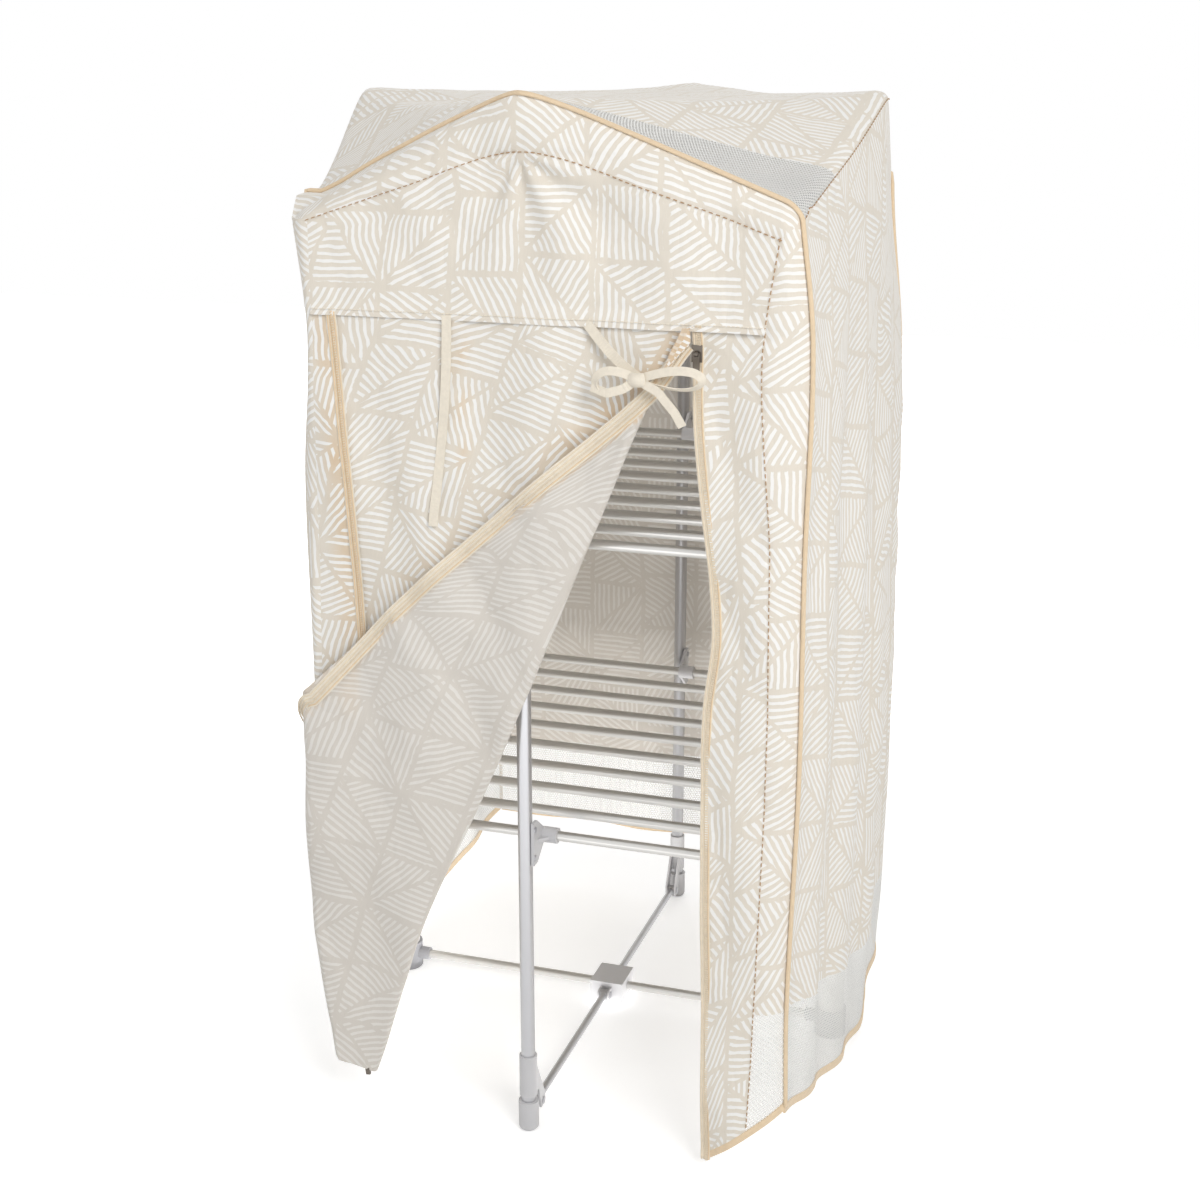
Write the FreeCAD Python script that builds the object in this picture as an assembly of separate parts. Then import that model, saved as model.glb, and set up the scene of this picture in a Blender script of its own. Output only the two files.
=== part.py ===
import FreeCAD, Part
import math
import os

from FreeCAD import Vector

# Heated clothes airer, three folding tiers of heated bars inside a zip-up fabric cover.
# Millimetres, +Z up, front is -Y, origin on the floor under the middle of the frame.

# Frame
POST_X = 346.0              # thick posts stand at plus and minus this
POST_RADIUS = 19.0
POST_WALL = 1.6
POST_TOP = 1352.0
FOOT_RADIUS = 23.0
FOOT_HEIGHT = 44.0
FOOT_FLOOR = 6.0            # foot plastic under a tube end
RAIL_Z = 25.0
RAIL_RADIUS = 6.6
TEE_WALL = 3.4
TEE_REACH = 15.0
TOP_RAIL_DROP = 30.0
TOP_RAIL_RADIUS = 8.0

# Tiers and bars
TOP_TIER_DROP = 116.0       # bars of the top tier below the post tops
TIER_PITCH = 404.0
TIER_NAMES = ["low", "middle", "top"]
BAR_PITCH = 76.4
BARS_PER_WING = 5
BAR_RADIUS = 6.7
BAR_WALL = 1.1
ELEMENT_GAP = 0.5
ARM_THICK = 10.0
ARM_DEPTH = 20.0
ARM_GAP = 28.0              # arm to hinge collar, filled by the boss on the ear

# Hinges of the wings
COLLAR_WALL = 5.0
COLLAR_HEIGHT = 26.0
EAR_THICK = 8.0
EAR_RADIUS = 10.0
PIN_RADIUS = 4.0
PIN_HEAD_RADIUS = 7.0
PIN_HEAD_THICK = 4.0

# Thin legs
LEG_RADIUS = 9.6
LEG_WALL = 1.3
LEG_OFFSET = 34.0           # leg centre outside the outermost bar
LEG_FOOT_RADIUS = 14.0
LEG_FOOT_HEIGHT = 44.0
LEG_FOOT_FLAT = 7.0
SLEEVE_BOTTOM = 53.0
SLEEVE_HEIGHT = 61.0
SLEEVE_WALL = 2.6
CHEEK_THICK = 3.0
BRACKET_HEIGHT = 60.0
BRACKET_PLATE = 4.0
BARREL_WALL = 4.0
BARREL_LENGTH = 24.0
RIVET_RADIUS = 2.2
RIVET_HEAD = 1.6
RIVET_SPREAD = 20.0

# Stays at floor level
STAY_RADIUS = 5.4
EYE_RADIUS = 8.0
STAY_PIN_RADIUS = 3.0
HUB_HALF_LENGTH = 26.0
HUB_WALL = 9.0

# Caps on the post tops
CAP_HEIGHT = 16.0
CAP_LIP = 2.0
SPIGOT_LENGTH = 8.0
SPIGOT_GAP = 0.6

# Controls on the right post
BOX_WIDTH = 56.0
BOX_DEPTH = 60.0
BOX_HEIGHT = 110.0
BOX_BOTTOM = 110.0
BOX_WALL = 2.5
ROCKER_WIDTH = 20.0
ROCKER_HEIGHT = 28.0
ROCKER_DEPTH = 12.0
ROCKER_PROUD = 3.0
ROCKER_GAP = 1.2
ROCKER_DISH = 1.0
LENS_RADIUS = 4.0
LENS_PROUD = 1.5
GLAND_RADIUS = 7.0
GLAND_LENGTH = 20.0
GLAND_BORE = 3.6
CUTOUT_SIZE = [18.0, 8.0, 30.0]

# Cover
CLOTH = 1.6
FRONT_SLACK = 15.6          # front edge of the roof outside the thin leg
SIDE_SLACK = 19.0           # side points of the roof outside the thick posts
CORNER_FRONT_RIGHT = 360.0
CORNER_FRONT_LEFT = 306.0
CORNER_REAR = 346.0
REAR_CORNER_DROP = 122.0    # roof corners hang below the post tops
FRONT_RIGHT_DROP = 116.0
FRONT_LEFT_DROP = 140.0
WALL_INSET = 7.0
FRONT_FOLDS = 9
WALL_FOLD = 4.0
SIDE_FOLD = 7.0
SIDE_SWELL = 11.0           # foot of the side walls outside their top
HEM_Z = 42.0
MESH_TOP = 240.0
VALANCE_Z = 1118.0
ZIP_TOP_X = 227.0
ZIP_BOTTOM_X = 254.0
STRIP_HEM_Z = 18.0
FLAP_FOLD_X = -228.0        # where the fold line meets the hem
FLAP_EDGE_Z = 601.0         # where the folded zip edge meets the left edge
FLAP_EDGE_DROP = 24.0       # folded zip edge under the zip's top end
FLAP_LAYER = 11.0
FLAP_FOLD = 3.0
SLIDER_SIZE = [13.0, 4.0, 20.0]
SLIDER_DROP = 22.0
PULL_SIZE = [8.0, 1.8, 26.0]
PULL_RING = 1.6
RIBBON_WIDTH = 13.0
RIBBON_X = -90.0
RIBBON_LENGTH = 264.0
BOW_X = 164.0
BOW_DROP = 62.0
BOW_STRAP_X = 93.0          # where the bow's strap is sewn to the valance
BOW_LOOP = 54.0
BOW_HEIGHT = 24.0
BOW_DEPTH = 12.0
BOW_TAIL_X = 219.0
BOW_TAIL_DROP = 52.0

# Fits
FIT = 0.02                  # pressed or glued
RUNNING = 0.08              # turning pins and barrels
CLEAR = 0.3                 # parts that only lie beside each other
SIDE_PLAY = 0.6             # cheeks beside eyes
SEAT = 0.05                 # sewn or clipped to cloth

UP = Vector(0, 0, 1)
ALONG = Vector(1, 0, 0)
DEEP = Vector(0, 1, 0)

TIER_Z = [POST_TOP - TOP_TIER_DROP - TIER_PITCH * step for step in (2, 1, 0)]
HINGE_Y = BAR_PITCH / 2.0
WING_REACH = BAR_PITCH * (BARS_PER_WING - 1)
OUTER_Y = HINGE_Y + WING_REACH
LEG_Y = OUTER_Y + LEG_OFFSET
COLLAR_RADIUS = POST_RADIUS + COLLAR_WALL
EAR_INNER_X = POST_X - COLLAR_RADIUS
ARM_OUTER_X = EAR_INNER_X - ARM_GAP
ARM_INNER_X = ARM_OUTER_X - ARM_THICK
CAP_TOP = POST_TOP + CAP_HEIGHT
ROOF_Z = CAP_TOP + CLEAR
COVER_FRONT = LEG_Y + LEG_RADIUS + FRONT_SLACK
COVER_SIDE = POST_X + POST_RADIUS + SIDE_SLACK
WALL_Y = COVER_FRONT - WALL_INSET
WALL_LEFT = -CORNER_FRONT_LEFT + WALL_INSET
WALL_RIGHT = CORNER_FRONT_RIGHT - WALL_INSET
BOW_BACK_Y = WALL_Y + FLAP_LAYER + FLAP_FOLD + CLEAR
COVER_REAR = BOW_BACK_Y + BOW_DEPTH     # the rear hangs as slack as the bow stands proud
REAR_WALL_Y = COVER_REAR - WALL_INSET
CHEEK_INNER_X = STAY_RADIUS + SIDE_PLAY
CHEEK_OUTER_X = CHEEK_INNER_X + CHEEK_THICK


def rod(radius, start, direction, length):
    return Part.makeCylinder(radius, length, start, direction)


def tube(radius, wall, start, direction, length):
    return rod(radius, start, direction, length).cut(rod(radius - wall, start, direction, length))


def block(x0, x1, y0, y1, z0, z1):
    return Part.makeBox(x1 - x0, y1 - y0, z1 - z0, Vector(x0, y0, z0))


def plate(points, direction):
    return Part.Face(Part.makePolygon(points + [points[0]])).extrude(direction)


def mirror(shape, normal):
    return shape.mirror(Vector(0, 0, 0), normal)


def join(shapes):
    solid = shapes[0]
    for shape in shapes[1:]:
        solid = solid.fuse(shape)
    return solid.removeSplitter()


def save(name, shapes):
    solids = shapes if isinstance(shapes, list) else [shapes]
    flat = [solid for shape in solids for solid in shape.Solids]
    for solid in flat:
        if not solid.isValid() or solid.Volume <= 0:
            raise ValueError(name + " is not a sound solid")
    shape = flat[0] if len(flat) == 1 else Part.makeCompound(flat)
    shape.exportStep("parts/" + name + ".step")
    print(name, len(flat), round(sum(solid.Volume for solid in flat) / 1000.0, 2))


# Thick posts, their feet and rails


def thick_post():
    post = tube(POST_RADIUS, POST_WALL, Vector(POST_X, 0, FOOT_FLOOR), UP, POST_TOP - FOOT_FLOOR)
    rail_hole = rod(TOP_RAIL_RADIUS + FIT, Vector(0, 0, POST_TOP - TOP_RAIL_DROP), ALONG, POST_X)
    return post.cut(rail_hole)


def thick_foot():
    centre = Vector(POST_X, 0, 0)
    cup = rod(FOOT_RADIUS, centre, UP, FOOT_HEIGHT)
    cup = cup.makeFillet(FOOT_FLOOR / 2.0, [edge for edge in cup.Edges if len(edge.Vertexes) == 1
                                           and edge.BoundBox.ZMax < FOOT_FLOOR])
    tee_start = Vector(POST_X - FOOT_RADIUS - TEE_REACH, 0, RAIL_Z)
    tee = rod(RAIL_RADIUS + TEE_WALL, tee_start, ALONG, FOOT_RADIUS + TEE_REACH)
    foot = cup.fuse(tee)
    foot = foot.cut(rod(POST_RADIUS + FIT, Vector(POST_X, 0, FOOT_FLOOR), UP, FOOT_HEIGHT))
    rail_bore = rod(RAIL_RADIUS + FIT, tee_start, ALONG, FOOT_RADIUS + TEE_REACH - POST_RADIUS)
    return foot.cut(rail_bore)


def base_rail():
    half = POST_X - POST_RADIUS - CLEAR
    return tube(RAIL_RADIUS, BAR_WALL, Vector(-half, 0, RAIL_Z), ALONG, 2 * half)


def top_rail():
    half = POST_X - POST_RADIUS + POST_WALL
    return tube(TOP_RAIL_RADIUS, BAR_WALL, Vector(-half, 0, POST_TOP - TOP_RAIL_DROP), ALONG, 2 * half)


def base_hub():
    core_y = HINGE_Y - EYE_RADIUS - SIDE_PLAY
    height = RAIL_RADIUS + HUB_WALL
    core = block(-HUB_HALF_LENGTH, HUB_HALF_LENGTH, -core_y, core_y, RAIL_Z - height, RAIL_Z + height)
    pieces = [core]
    for side in (-1, 1):
        for x0 in (CHEEK_INNER_X, -CHEEK_OUTER_X):
            x1 = x0 + CHEEK_THICK
            ear = rod(EYE_RADIUS, Vector(x0, side * HINGE_Y, RAIL_Z), ALONG, CHEEK_THICK)
            near, far = sorted([0.0, side * HINGE_Y])
            web = block(x0, x1, near, far, RAIL_Z - EYE_RADIUS, RAIL_Z + EYE_RADIUS)
            pieces += [ear, web]
    hub = join(pieces)
    hub = hub.cut(rod(RAIL_RADIUS + FIT, Vector(-HUB_HALF_LENGTH, 0, RAIL_Z), ALONG, 2 * HUB_HALF_LENGTH))
    for side in (-1, 1):
        start = Vector(-CHEEK_OUTER_X, side * HINGE_Y, RAIL_Z)
        hub = hub.cut(rod(STAY_PIN_RADIUS + FIT, start, ALONG, 2 * CHEEK_OUTER_X))
    return hub


def stay_pin(y):
    shank = rod(STAY_PIN_RADIUS, Vector(-CHEEK_OUTER_X, y, RAIL_Z), ALONG, 2 * CHEEK_OUTER_X)
    head = rod(STAY_PIN_RADIUS * 1.6, Vector(CHEEK_OUTER_X, y, RAIL_Z), ALONG, CHEEK_THICK / 2.0)
    return shank.fuse(head)


def hinge_bracket(z):
    low = z - COLLAR_HEIGHT / 2.0
    ring = rod(COLLAR_RADIUS, Vector(POST_X, 0, low), UP, COLLAR_HEIGHT)
    pieces = [ring]
    for side in (-1, 1):
        near, far = sorted([0.0, side * HINGE_Y])
        web = block(EAR_INNER_X, EAR_INNER_X + EAR_THICK, near, far, z - EAR_RADIUS, z + EAR_RADIUS)
        boss_x = ARM_OUTER_X + SIDE_PLAY
        boss = rod(EAR_RADIUS, Vector(boss_x, side * HINGE_Y, z), ALONG, EAR_INNER_X + EAR_THICK - boss_x)
        pieces += [web, boss]
    bracket = join(pieces)
    bracket = bracket.cut(rod(POST_RADIUS + FIT, Vector(POST_X, 0, low), UP, COLLAR_HEIGHT))
    for side in (-1, 1):
        start = Vector(ARM_OUTER_X, side * HINGE_Y, z)
        bracket = bracket.cut(rod(PIN_RADIUS + FIT, start, ALONG, ARM_GAP + EAR_THICK))
    return bracket


def hinge_pin(y, z):
    head_x = EAR_INNER_X + EAR_THICK
    shank = rod(PIN_RADIUS, Vector(ARM_INNER_X, y, z), ALONG, head_x - ARM_INNER_X)
    head = rod(PIN_HEAD_RADIUS, Vector(head_x, y, z), ALONG, PIN_HEAD_THICK)
    return shank.fuse(head)


def make_frame():
    post = thick_post()
    foot = thick_foot()
    save("right_post", post)
    save("left_post", mirror(post, ALONG))
    save("right_foot", foot)
    save("left_foot", mirror(foot, ALONG))
    save("base_rail", base_rail())
    save("base_hub", base_hub())
    save("base_pins", [stay_pin(-HINGE_Y), stay_pin(HINGE_Y)])
    save("top_rail", top_rail())
    brackets = [hinge_bracket(z) for z in TIER_Z]
    save("hinge_brackets", brackets + [mirror(bracket, ALONG) for bracket in brackets])
    pins = [hinge_pin(side * HINGE_Y, z) for z in TIER_Z for side in (-1, 1)]
    save("hinge_pins", pins + [mirror(pin, ALONG) for pin in pins])


# One wing of heated bars, front side


def wing_bars(z):
    ys = [-(HINGE_Y + BAR_PITCH * i) for i in range(BARS_PER_WING)]
    return [tube(BAR_RADIUS, BAR_WALL, Vector(-ARM_INNER_X, y, z), ALONG, 2 * ARM_INNER_X) for y in ys]


def wing_elements(z):
    radius = BAR_RADIUS - BAR_WALL - ELEMENT_GAP
    ys = [-(HINGE_Y + BAR_PITCH * i) for i in range(BARS_PER_WING)]
    return [rod(radius, Vector(-ARM_INNER_X, y, z), ALONG, 2 * ARM_INNER_X) for y in ys]


def wing_arm(z):
    half = ARM_DEPTH / 2.0
    bar = block(ARM_INNER_X, ARM_OUTER_X, -OUTER_Y, -HINGE_Y, z - half, z + half)
    ends = [rod(half, Vector(ARM_INNER_X, -y, z), ALONG, ARM_THICK) for y in (HINGE_Y, OUTER_Y)]
    arm = join([bar] + ends)
    return arm.cut(rod(PIN_RADIUS + RUNNING, Vector(ARM_INNER_X, -HINGE_Y, z), ALONG, ARM_THICK))


def make_wings():
    for tier, z in zip(TIER_NAMES, TIER_Z):
        arm = wing_arm(z)
        front = {
            "bars": wing_bars(z),
            "elements": wing_elements(z),
            "arms": [arm, mirror(arm, ALONG)],
        }
        for name, shapes in front.items():
            save("front_" + tier + "_" + name, shapes)
            save("rear_" + tier + "_" + name, [mirror(shape, DEEP) for shape in shapes])


# Thin leg with its foot, sleeve and bar brackets, front side


def leg_rivets():
    rivets = []
    for z in TIER_Z:
        for dz in (-RIVET_SPREAD, RIVET_SPREAD):
            inside = LEG_RADIUS - LEG_WALL
            start = Vector(inside, -LEG_Y, z + dz)
            outside = LEG_RADIUS + FIT + BRACKET_PLATE
            shank = rod(RIVET_RADIUS, start, ALONG, outside - inside)
            head = rod(RIVET_RADIUS * 1.8, Vector(outside, -LEG_Y, z + dz), ALONG, RIVET_HEAD)
            rivets.append(shank.fuse(head))
    return rivets


def rivet_holes():
    holes = []
    for z in TIER_Z:
        for dz in (-RIVET_SPREAD, RIVET_SPREAD):
            holes.append(rod(RIVET_RADIUS + FIT, Vector(0, -LEG_Y, z + dz), ALONG, 3 * LEG_RADIUS))
    return holes


def leg_tube():
    leg = tube(LEG_RADIUS, LEG_WALL, Vector(0, -LEG_Y, FOOT_FLOOR), UP, POST_TOP - FOOT_FLOOR)
    for hole in rivet_holes():
        leg = leg.cut(hole)
    return leg


def leg_foot():
    arc_mid_x = LEG_FOOT_FLAT + (LEG_FOOT_RADIUS - LEG_FOOT_FLAT) * math.sin(math.pi / 4)
    rise = LEG_FOOT_RADIUS - LEG_FOOT_FLAT
    arc_mid_z = rise * (1 - math.cos(math.pi / 4))
    inner = LEG_RADIUS + FIT
    start = Vector(LEG_FOOT_FLAT, 0, 0)
    shoulder = Vector(LEG_FOOT_RADIUS, 0, rise)
    edges = [
        Part.LineSegment(Vector(0, 0, 0), start).toShape(),
        Part.Arc(start, Vector(arc_mid_x, 0, arc_mid_z), shoulder).toShape(),
        Part.LineSegment(shoulder, Vector(LEG_FOOT_RADIUS, 0, LEG_FOOT_HEIGHT)).toShape(),
        Part.LineSegment(Vector(LEG_FOOT_RADIUS, 0, LEG_FOOT_HEIGHT), Vector(inner, 0, LEG_FOOT_HEIGHT)).toShape(),
        Part.LineSegment(Vector(inner, 0, LEG_FOOT_HEIGHT), Vector(inner, 0, FOOT_FLOOR)).toShape(),
        Part.LineSegment(Vector(inner, 0, FOOT_FLOOR), Vector(0, 0, FOOT_FLOOR)).toShape(),
        Part.LineSegment(Vector(0, 0, FOOT_FLOOR), Vector(0, 0, 0)).toShape(),
    ]
    foot = Part.Face(Part.Wire(edges)).revolve(Vector(0, 0, 0), UP, 360)
    foot.translate(Vector(0, -LEG_Y, 0))
    return foot


def leg_sleeve():
    outer = LEG_RADIUS + SLEEVE_WALL
    ring = rod(outer, Vector(0, -LEG_Y, SLEEVE_BOTTOM), UP, SLEEVE_HEIGHT)
    pieces = [ring]
    low = RAIL_Z - EYE_RADIUS
    for x0 in (CHEEK_INNER_X, -CHEEK_OUTER_X):
        outline = [
            Vector(x0, -LEG_Y, SLEEVE_BOTTOM + SLEEVE_HEIGHT),
            Vector(x0, -LEG_Y, SLEEVE_BOTTOM),
            Vector(x0, -LEG_Y + LEG_FOOT_RADIUS + SLEEVE_WALL, SLEEVE_BOTTOM),
            Vector(x0, -OUTER_Y - EYE_RADIUS, low),
            Vector(x0, -OUTER_Y + EYE_RADIUS, low),
            Vector(x0, -OUTER_Y + EYE_RADIUS, RAIL_Z + EYE_RADIUS),
        ]
        pieces.append(plate(outline, Vector(CHEEK_THICK, 0, 0)))
    sleeve = join(pieces)
    sleeve = sleeve.cut(rod(LEG_RADIUS + FIT, Vector(0, -LEG_Y, 0), UP, POST_TOP))
    pin_start = Vector(-CHEEK_OUTER_X, -OUTER_Y, RAIL_Z)
    return sleeve.cut(rod(STAY_PIN_RADIUS + FIT, pin_start, ALONG, 2 * CHEEK_OUTER_X))


def bar_bracket(z):
    half = BRACKET_HEIGHT / 2.0
    x0 = LEG_RADIUS + FIT
    x1 = x0 + BRACKET_PLATE
    barrel_radius = BAR_RADIUS + BARREL_WALL
    outline = [
        Vector(x0, -LEG_Y - LEG_RADIUS / 2.0, z - half),
        Vector(x0, -LEG_Y + LEG_RADIUS, z - half),
        Vector(x0, -OUTER_Y, z - barrel_radius),
        Vector(x0, -OUTER_Y, z + barrel_radius),
        Vector(x0, -LEG_Y + LEG_RADIUS, z + half),
        Vector(x0, -LEG_Y - LEG_RADIUS / 2.0, z + half),
    ]
    pieces = [plate(outline, Vector(BRACKET_PLATE, 0, 0))]
    pieces.append(rod(barrel_radius, Vector(x0, -OUTER_Y, z), ALONG, BARREL_LENGTH))
    gusset = [
        Vector(x1, -LEG_Y + LEG_RADIUS, z),
        Vector(x1, -OUTER_Y, z),
        Vector(x0 + BARREL_LENGTH, -OUTER_Y, z),
    ]
    pieces.append(plate([point - UP * (BRACKET_PLATE / 2.0) for point in gusset], UP * BRACKET_PLATE))
    bracket = join(pieces)
    bracket = bracket.cut(rod(BAR_RADIUS + RUNNING, Vector(0, -OUTER_Y, z), ALONG, 3 * BARREL_LENGTH))
    for hole in rivet_holes():
        bracket = bracket.cut(hole)
    return bracket


def make_legs():
    front = {
        "tube": [leg_tube()],
        "foot": [leg_foot()],
        "sleeve": [leg_sleeve()],
        "brackets": [bar_bracket(z) for z in TIER_Z],
        "rivets": leg_rivets(),
        "pin": [stay_pin(-OUTER_Y)],
    }
    for name, shapes in front.items():
        save("front_leg_" + name, shapes)
        save("rear_leg_" + name, [mirror(shape, DEEP) for shape in shapes])


def stay():
    body = rod(STAY_RADIUS, Vector(0, -OUTER_Y, RAIL_Z), DEEP, WING_REACH)
    eyes = []
    for y in (-OUTER_Y, -HINGE_Y):
        eyes.append(rod(EYE_RADIUS, Vector(-STAY_RADIUS, y, RAIL_Z), ALONG, 2 * STAY_RADIUS))
    bar = join([body] + eyes)
    for y in (-OUTER_Y, -HINGE_Y):
        start = Vector(-2 * STAY_RADIUS, y, RAIL_Z)
        bar = bar.cut(rod(STAY_PIN_RADIUS + RUNNING, start, ALONG, 4 * STAY_RADIUS))
    return bar


def make_stays():
    bar = stay()
    save("front_stay", bar)
    save("rear_stay", mirror(bar, DEEP))


# Caps that carry the cover on the four post tops


def post_cap(radius, wall, x, y):
    disc = rod(radius + CAP_LIP, Vector(x, y, POST_TOP), UP, CAP_HEIGHT)
    crown = [edge for edge in disc.Edges if edge.BoundBox.ZMin > POST_TOP + CAP_HEIGHT / 2.0]
    disc = disc.makeFillet(CAP_HEIGHT / 2.0, crown)
    spigot = rod(radius - wall - SPIGOT_GAP, Vector(x, y, POST_TOP - SPIGOT_LENGTH), UP, SPIGOT_LENGTH)
    return disc.fuse(spigot)


def make_caps():
    thick = [post_cap(POST_RADIUS, POST_WALL, side * POST_X, 0) for side in (-1, 1)]
    thin = [post_cap(LEG_RADIUS, LEG_WALL, 0, side * LEG_Y) for side in (-1, 1)]
    save("post_caps", thick + thin)


# Control box low on the right post


def make_controls():
    x1 = POST_X - POST_RADIUS
    x0 = x1 - BOX_WIDTH
    half = BOX_DEPTH / 2.0
    top = BOX_BOTTOM + BOX_HEIGHT
    mid_x = (x0 + x1) / 2.0
    shell = block(x0, x1, -half, half, BOX_BOTTOM, top)
    shell = shell.cut(block(x0 + BOX_WALL, x1 - BOX_WALL, -half + BOX_WALL, half - BOX_WALL,
                            BOX_BOTTOM + BOX_WALL, top - BOX_WALL))
    rocker_z = top - ROCKER_HEIGHT
    opening_w = ROCKER_WIDTH / 2.0 + ROCKER_GAP
    opening_h = ROCKER_HEIGHT / 2.0 + ROCKER_GAP
    shell = shell.cut(block(mid_x - opening_w, mid_x + opening_w, -half, -half + BOX_WALL,
                            rocker_z - opening_h, rocker_z + opening_h))
    cradle_y = -half + ROCKER_DEPTH / 2.0
    cheeks = []
    for side in (-1, 1):
        edge = mid_x + side * opening_w
        near, far = sorted([edge, edge + side * BOX_WALL])
        cheek = block(near, far, -half + BOX_WALL / 2.0, -half + ROCKER_DEPTH,
                      rocker_z - opening_h / 2.0, rocker_z + opening_h / 2.0)
        cheeks.append(cheek)
    shell = join([shell] + cheeks)
    pivot_length = 2 * (opening_w + BOX_WALL)
    pivot_start = Vector(mid_x - opening_w - BOX_WALL, cradle_y, rocker_z)
    shell = shell.cut(rod(STAY_PIN_RADIUS + RUNNING, pivot_start, ALONG, pivot_length))
    lens_z = rocker_z - ROCKER_HEIGHT
    lens_start = Vector(mid_x, -half - LENS_PROUD, lens_z)
    shell = shell.cut(rod(LENS_RADIUS + FIT, lens_start, DEEP, LENS_PROUD + BOX_WALL))
    gland_start = Vector(mid_x, 0, BOX_BOTTOM - GLAND_LENGTH)
    shell = shell.cut(rod(GLAND_RADIUS * 0.75 + FIT, gland_start, UP, GLAND_LENGTH + BOX_WALL))
    save("control_box", shell)

    cap = rod(ROCKER_DEPTH / 2.0 + ROCKER_PROUD, Vector(mid_x - ROCKER_WIDTH / 2.0, cradle_y, rocker_z),
              ALONG, ROCKER_WIDTH)
    face = block(mid_x - ROCKER_WIDTH / 2.0, mid_x + ROCKER_WIDTH / 2.0, -half - ROCKER_PROUD, cradle_y,
                 rocker_z - ROCKER_HEIGHT / 2.0, rocker_z + ROCKER_HEIGHT / 2.0)
    hollow = rod(ROCKER_HEIGHT, Vector(mid_x - ROCKER_WIDTH, -half - ROCKER_PROUD - ROCKER_HEIGHT + ROCKER_DISH,
                                       rocker_z), ALONG, 2 * ROCKER_WIDTH)
    pivot = rod(STAY_PIN_RADIUS, pivot_start, ALONG, pivot_length)
    save("power_rocker", join([face.cut(hollow), cap.cut(hollow), pivot]))

    lens = rod(LENS_RADIUS, lens_start, DEEP, LENS_PROUD + BOX_WALL)
    save("pilot_lens", lens)
    gland = rod(GLAND_RADIUS, gland_start, UP, GLAND_LENGTH)
    neck = rod(GLAND_RADIUS * 0.75, gland_start, UP, GLAND_LENGTH + BOX_WALL)
    bore = rod(GLAND_BORE, gland_start, UP, GLAND_LENGTH + BOX_WALL)
    save("cable_gland", gland.fuse(neck).cut(bore))
    inner_back = half - BOX_WALL
    cut_x, cut_y, cut_z = CUTOUT_SIZE
    floor_z = BOX_BOTTOM + BOX_WALL
    save("thermal_cutout", block(x0 + BOX_WALL, x0 + BOX_WALL + cut_x, inner_back - cut_y, inner_back,
                                 floor_z, floor_z + cut_z))


# Fabric cover


def roof_points():
    return {
        "front": Vector(0, -COVER_FRONT, ROOF_Z),
        "rear": Vector(0, COVER_REAR, ROOF_Z),
        "left": Vector(-COVER_SIDE, 0, ROOF_Z),
        "right": Vector(COVER_SIDE, 0, ROOF_Z),
        "front_left": Vector(-CORNER_FRONT_LEFT, -COVER_FRONT, ROOF_Z - FRONT_LEFT_DROP),
        "front_right": Vector(CORNER_FRONT_RIGHT, -COVER_FRONT, ROOF_Z - FRONT_RIGHT_DROP),
        "rear_left": Vector(-CORNER_REAR, COVER_REAR, ROOF_Z - REAR_CORNER_DROP),
        "rear_right": Vector(CORNER_REAR, COVER_REAR, ROOF_Z - REAR_CORNER_DROP),
    }


def roof_prism(direction):
    point = roof_points()
    outlines = [
        ["front", "right", "rear", "left"],
        ["front", "front_right", "right"],
        ["right", "rear_right", "rear"],
        ["rear", "rear_left", "left"],
        ["left", "front_left", "front"],
    ]
    return join([plate([point[name] for name in outline], direction) for outline in outlines])


def wide_roof_space():
    # Space under the roof's planes, carried on outwards past the edges for walls that swell.
    point = roof_points()
    spread = 2 * (SIDE_SWELL + SIDE_FOLD) / COVER_SIDE
    pieces = [plate([point[name] for name in ("front", "right", "rear", "left")], UP * -ROOF_Z)]
    for end in ("front", "rear"):
        for side in ("left", "right"):
            apex, edge, corner = point[end], point[side], point[end + "_" + side]
            along_end = (corner - apex) * spread
            along_side = (corner - edge) * spread
            outline = [apex, apex + along_side, corner + along_side + along_end, edge + along_end, edge]
            pieces.append(plate(outline, UP * -ROOF_Z))
    return join(pieces)


def front_fold(x):
    # How far the front wall stands out at a place along it; less than nothing in its hollows.
    place = (x - WALL_LEFT) * FRONT_FOLDS / (WALL_RIGHT - WALL_LEFT)
    run = math.floor(place)
    rise = WALL_FOLD * (1 - (2 * (place - run) - 1) ** 2)
    return -rise if run % 2 else rise


def seat_y(left, right):
    # Back of a piece sewn on the front wall between two places.
    return -WALL_Y - max(front_fold(left), front_fold((left + right) / 2.0), front_fold(right)) - SEAT


def cloth_sheet(corners, folds, depth, thickness, rise):
    # A hanging sheet: each straight run between corners swings in and out in shallow arcs.
    stops = []
    for start, end, count in zip(corners[:-1], corners[1:], folds):
        for i in range(count):
            stops.append(start + (end - start) * (i / float(count)))
    stops.append(corners[-1])
    edges = []
    for i, (start, end) in enumerate(zip(stops[:-1], stops[1:])):
        run = end - start
        normal = Vector(-run.y, run.x, 0)
        normal.normalize()
        middle = (start + end) * 0.5 + normal * (depth if i % 2 else -depth)
        edges.append(Part.Arc(start, middle, end).toShape())
    near = Part.Wire(edges)
    far = near.copy()
    far.translate(thickness)
    first = Part.LineSegment(stops[0], stops[0] + thickness).toShape()
    last = Part.LineSegment(stops[-1], stops[-1] + thickness).toShape()
    outline = Part.Wire(Part.__sortEdges__(near.Edges + [last] + far.Edges + [first]))
    return Part.Face(outline).extrude(rise)


def front_window(points, depth):
    # A prism through the front wall from an outline in X and Z.
    return plate([Vector(x, -COVER_FRONT - depth, z) for x, z in points], DEEP * 2 * depth)


def fold_x(z):
    # The flap's fold line runs from the top of the zip to the hem.
    share = (VALANCE_Z - z) / (VALANCE_Z - HEM_Z)
    return ZIP_TOP_X + (FLAP_FOLD_X - ZIP_TOP_X) * share


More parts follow.
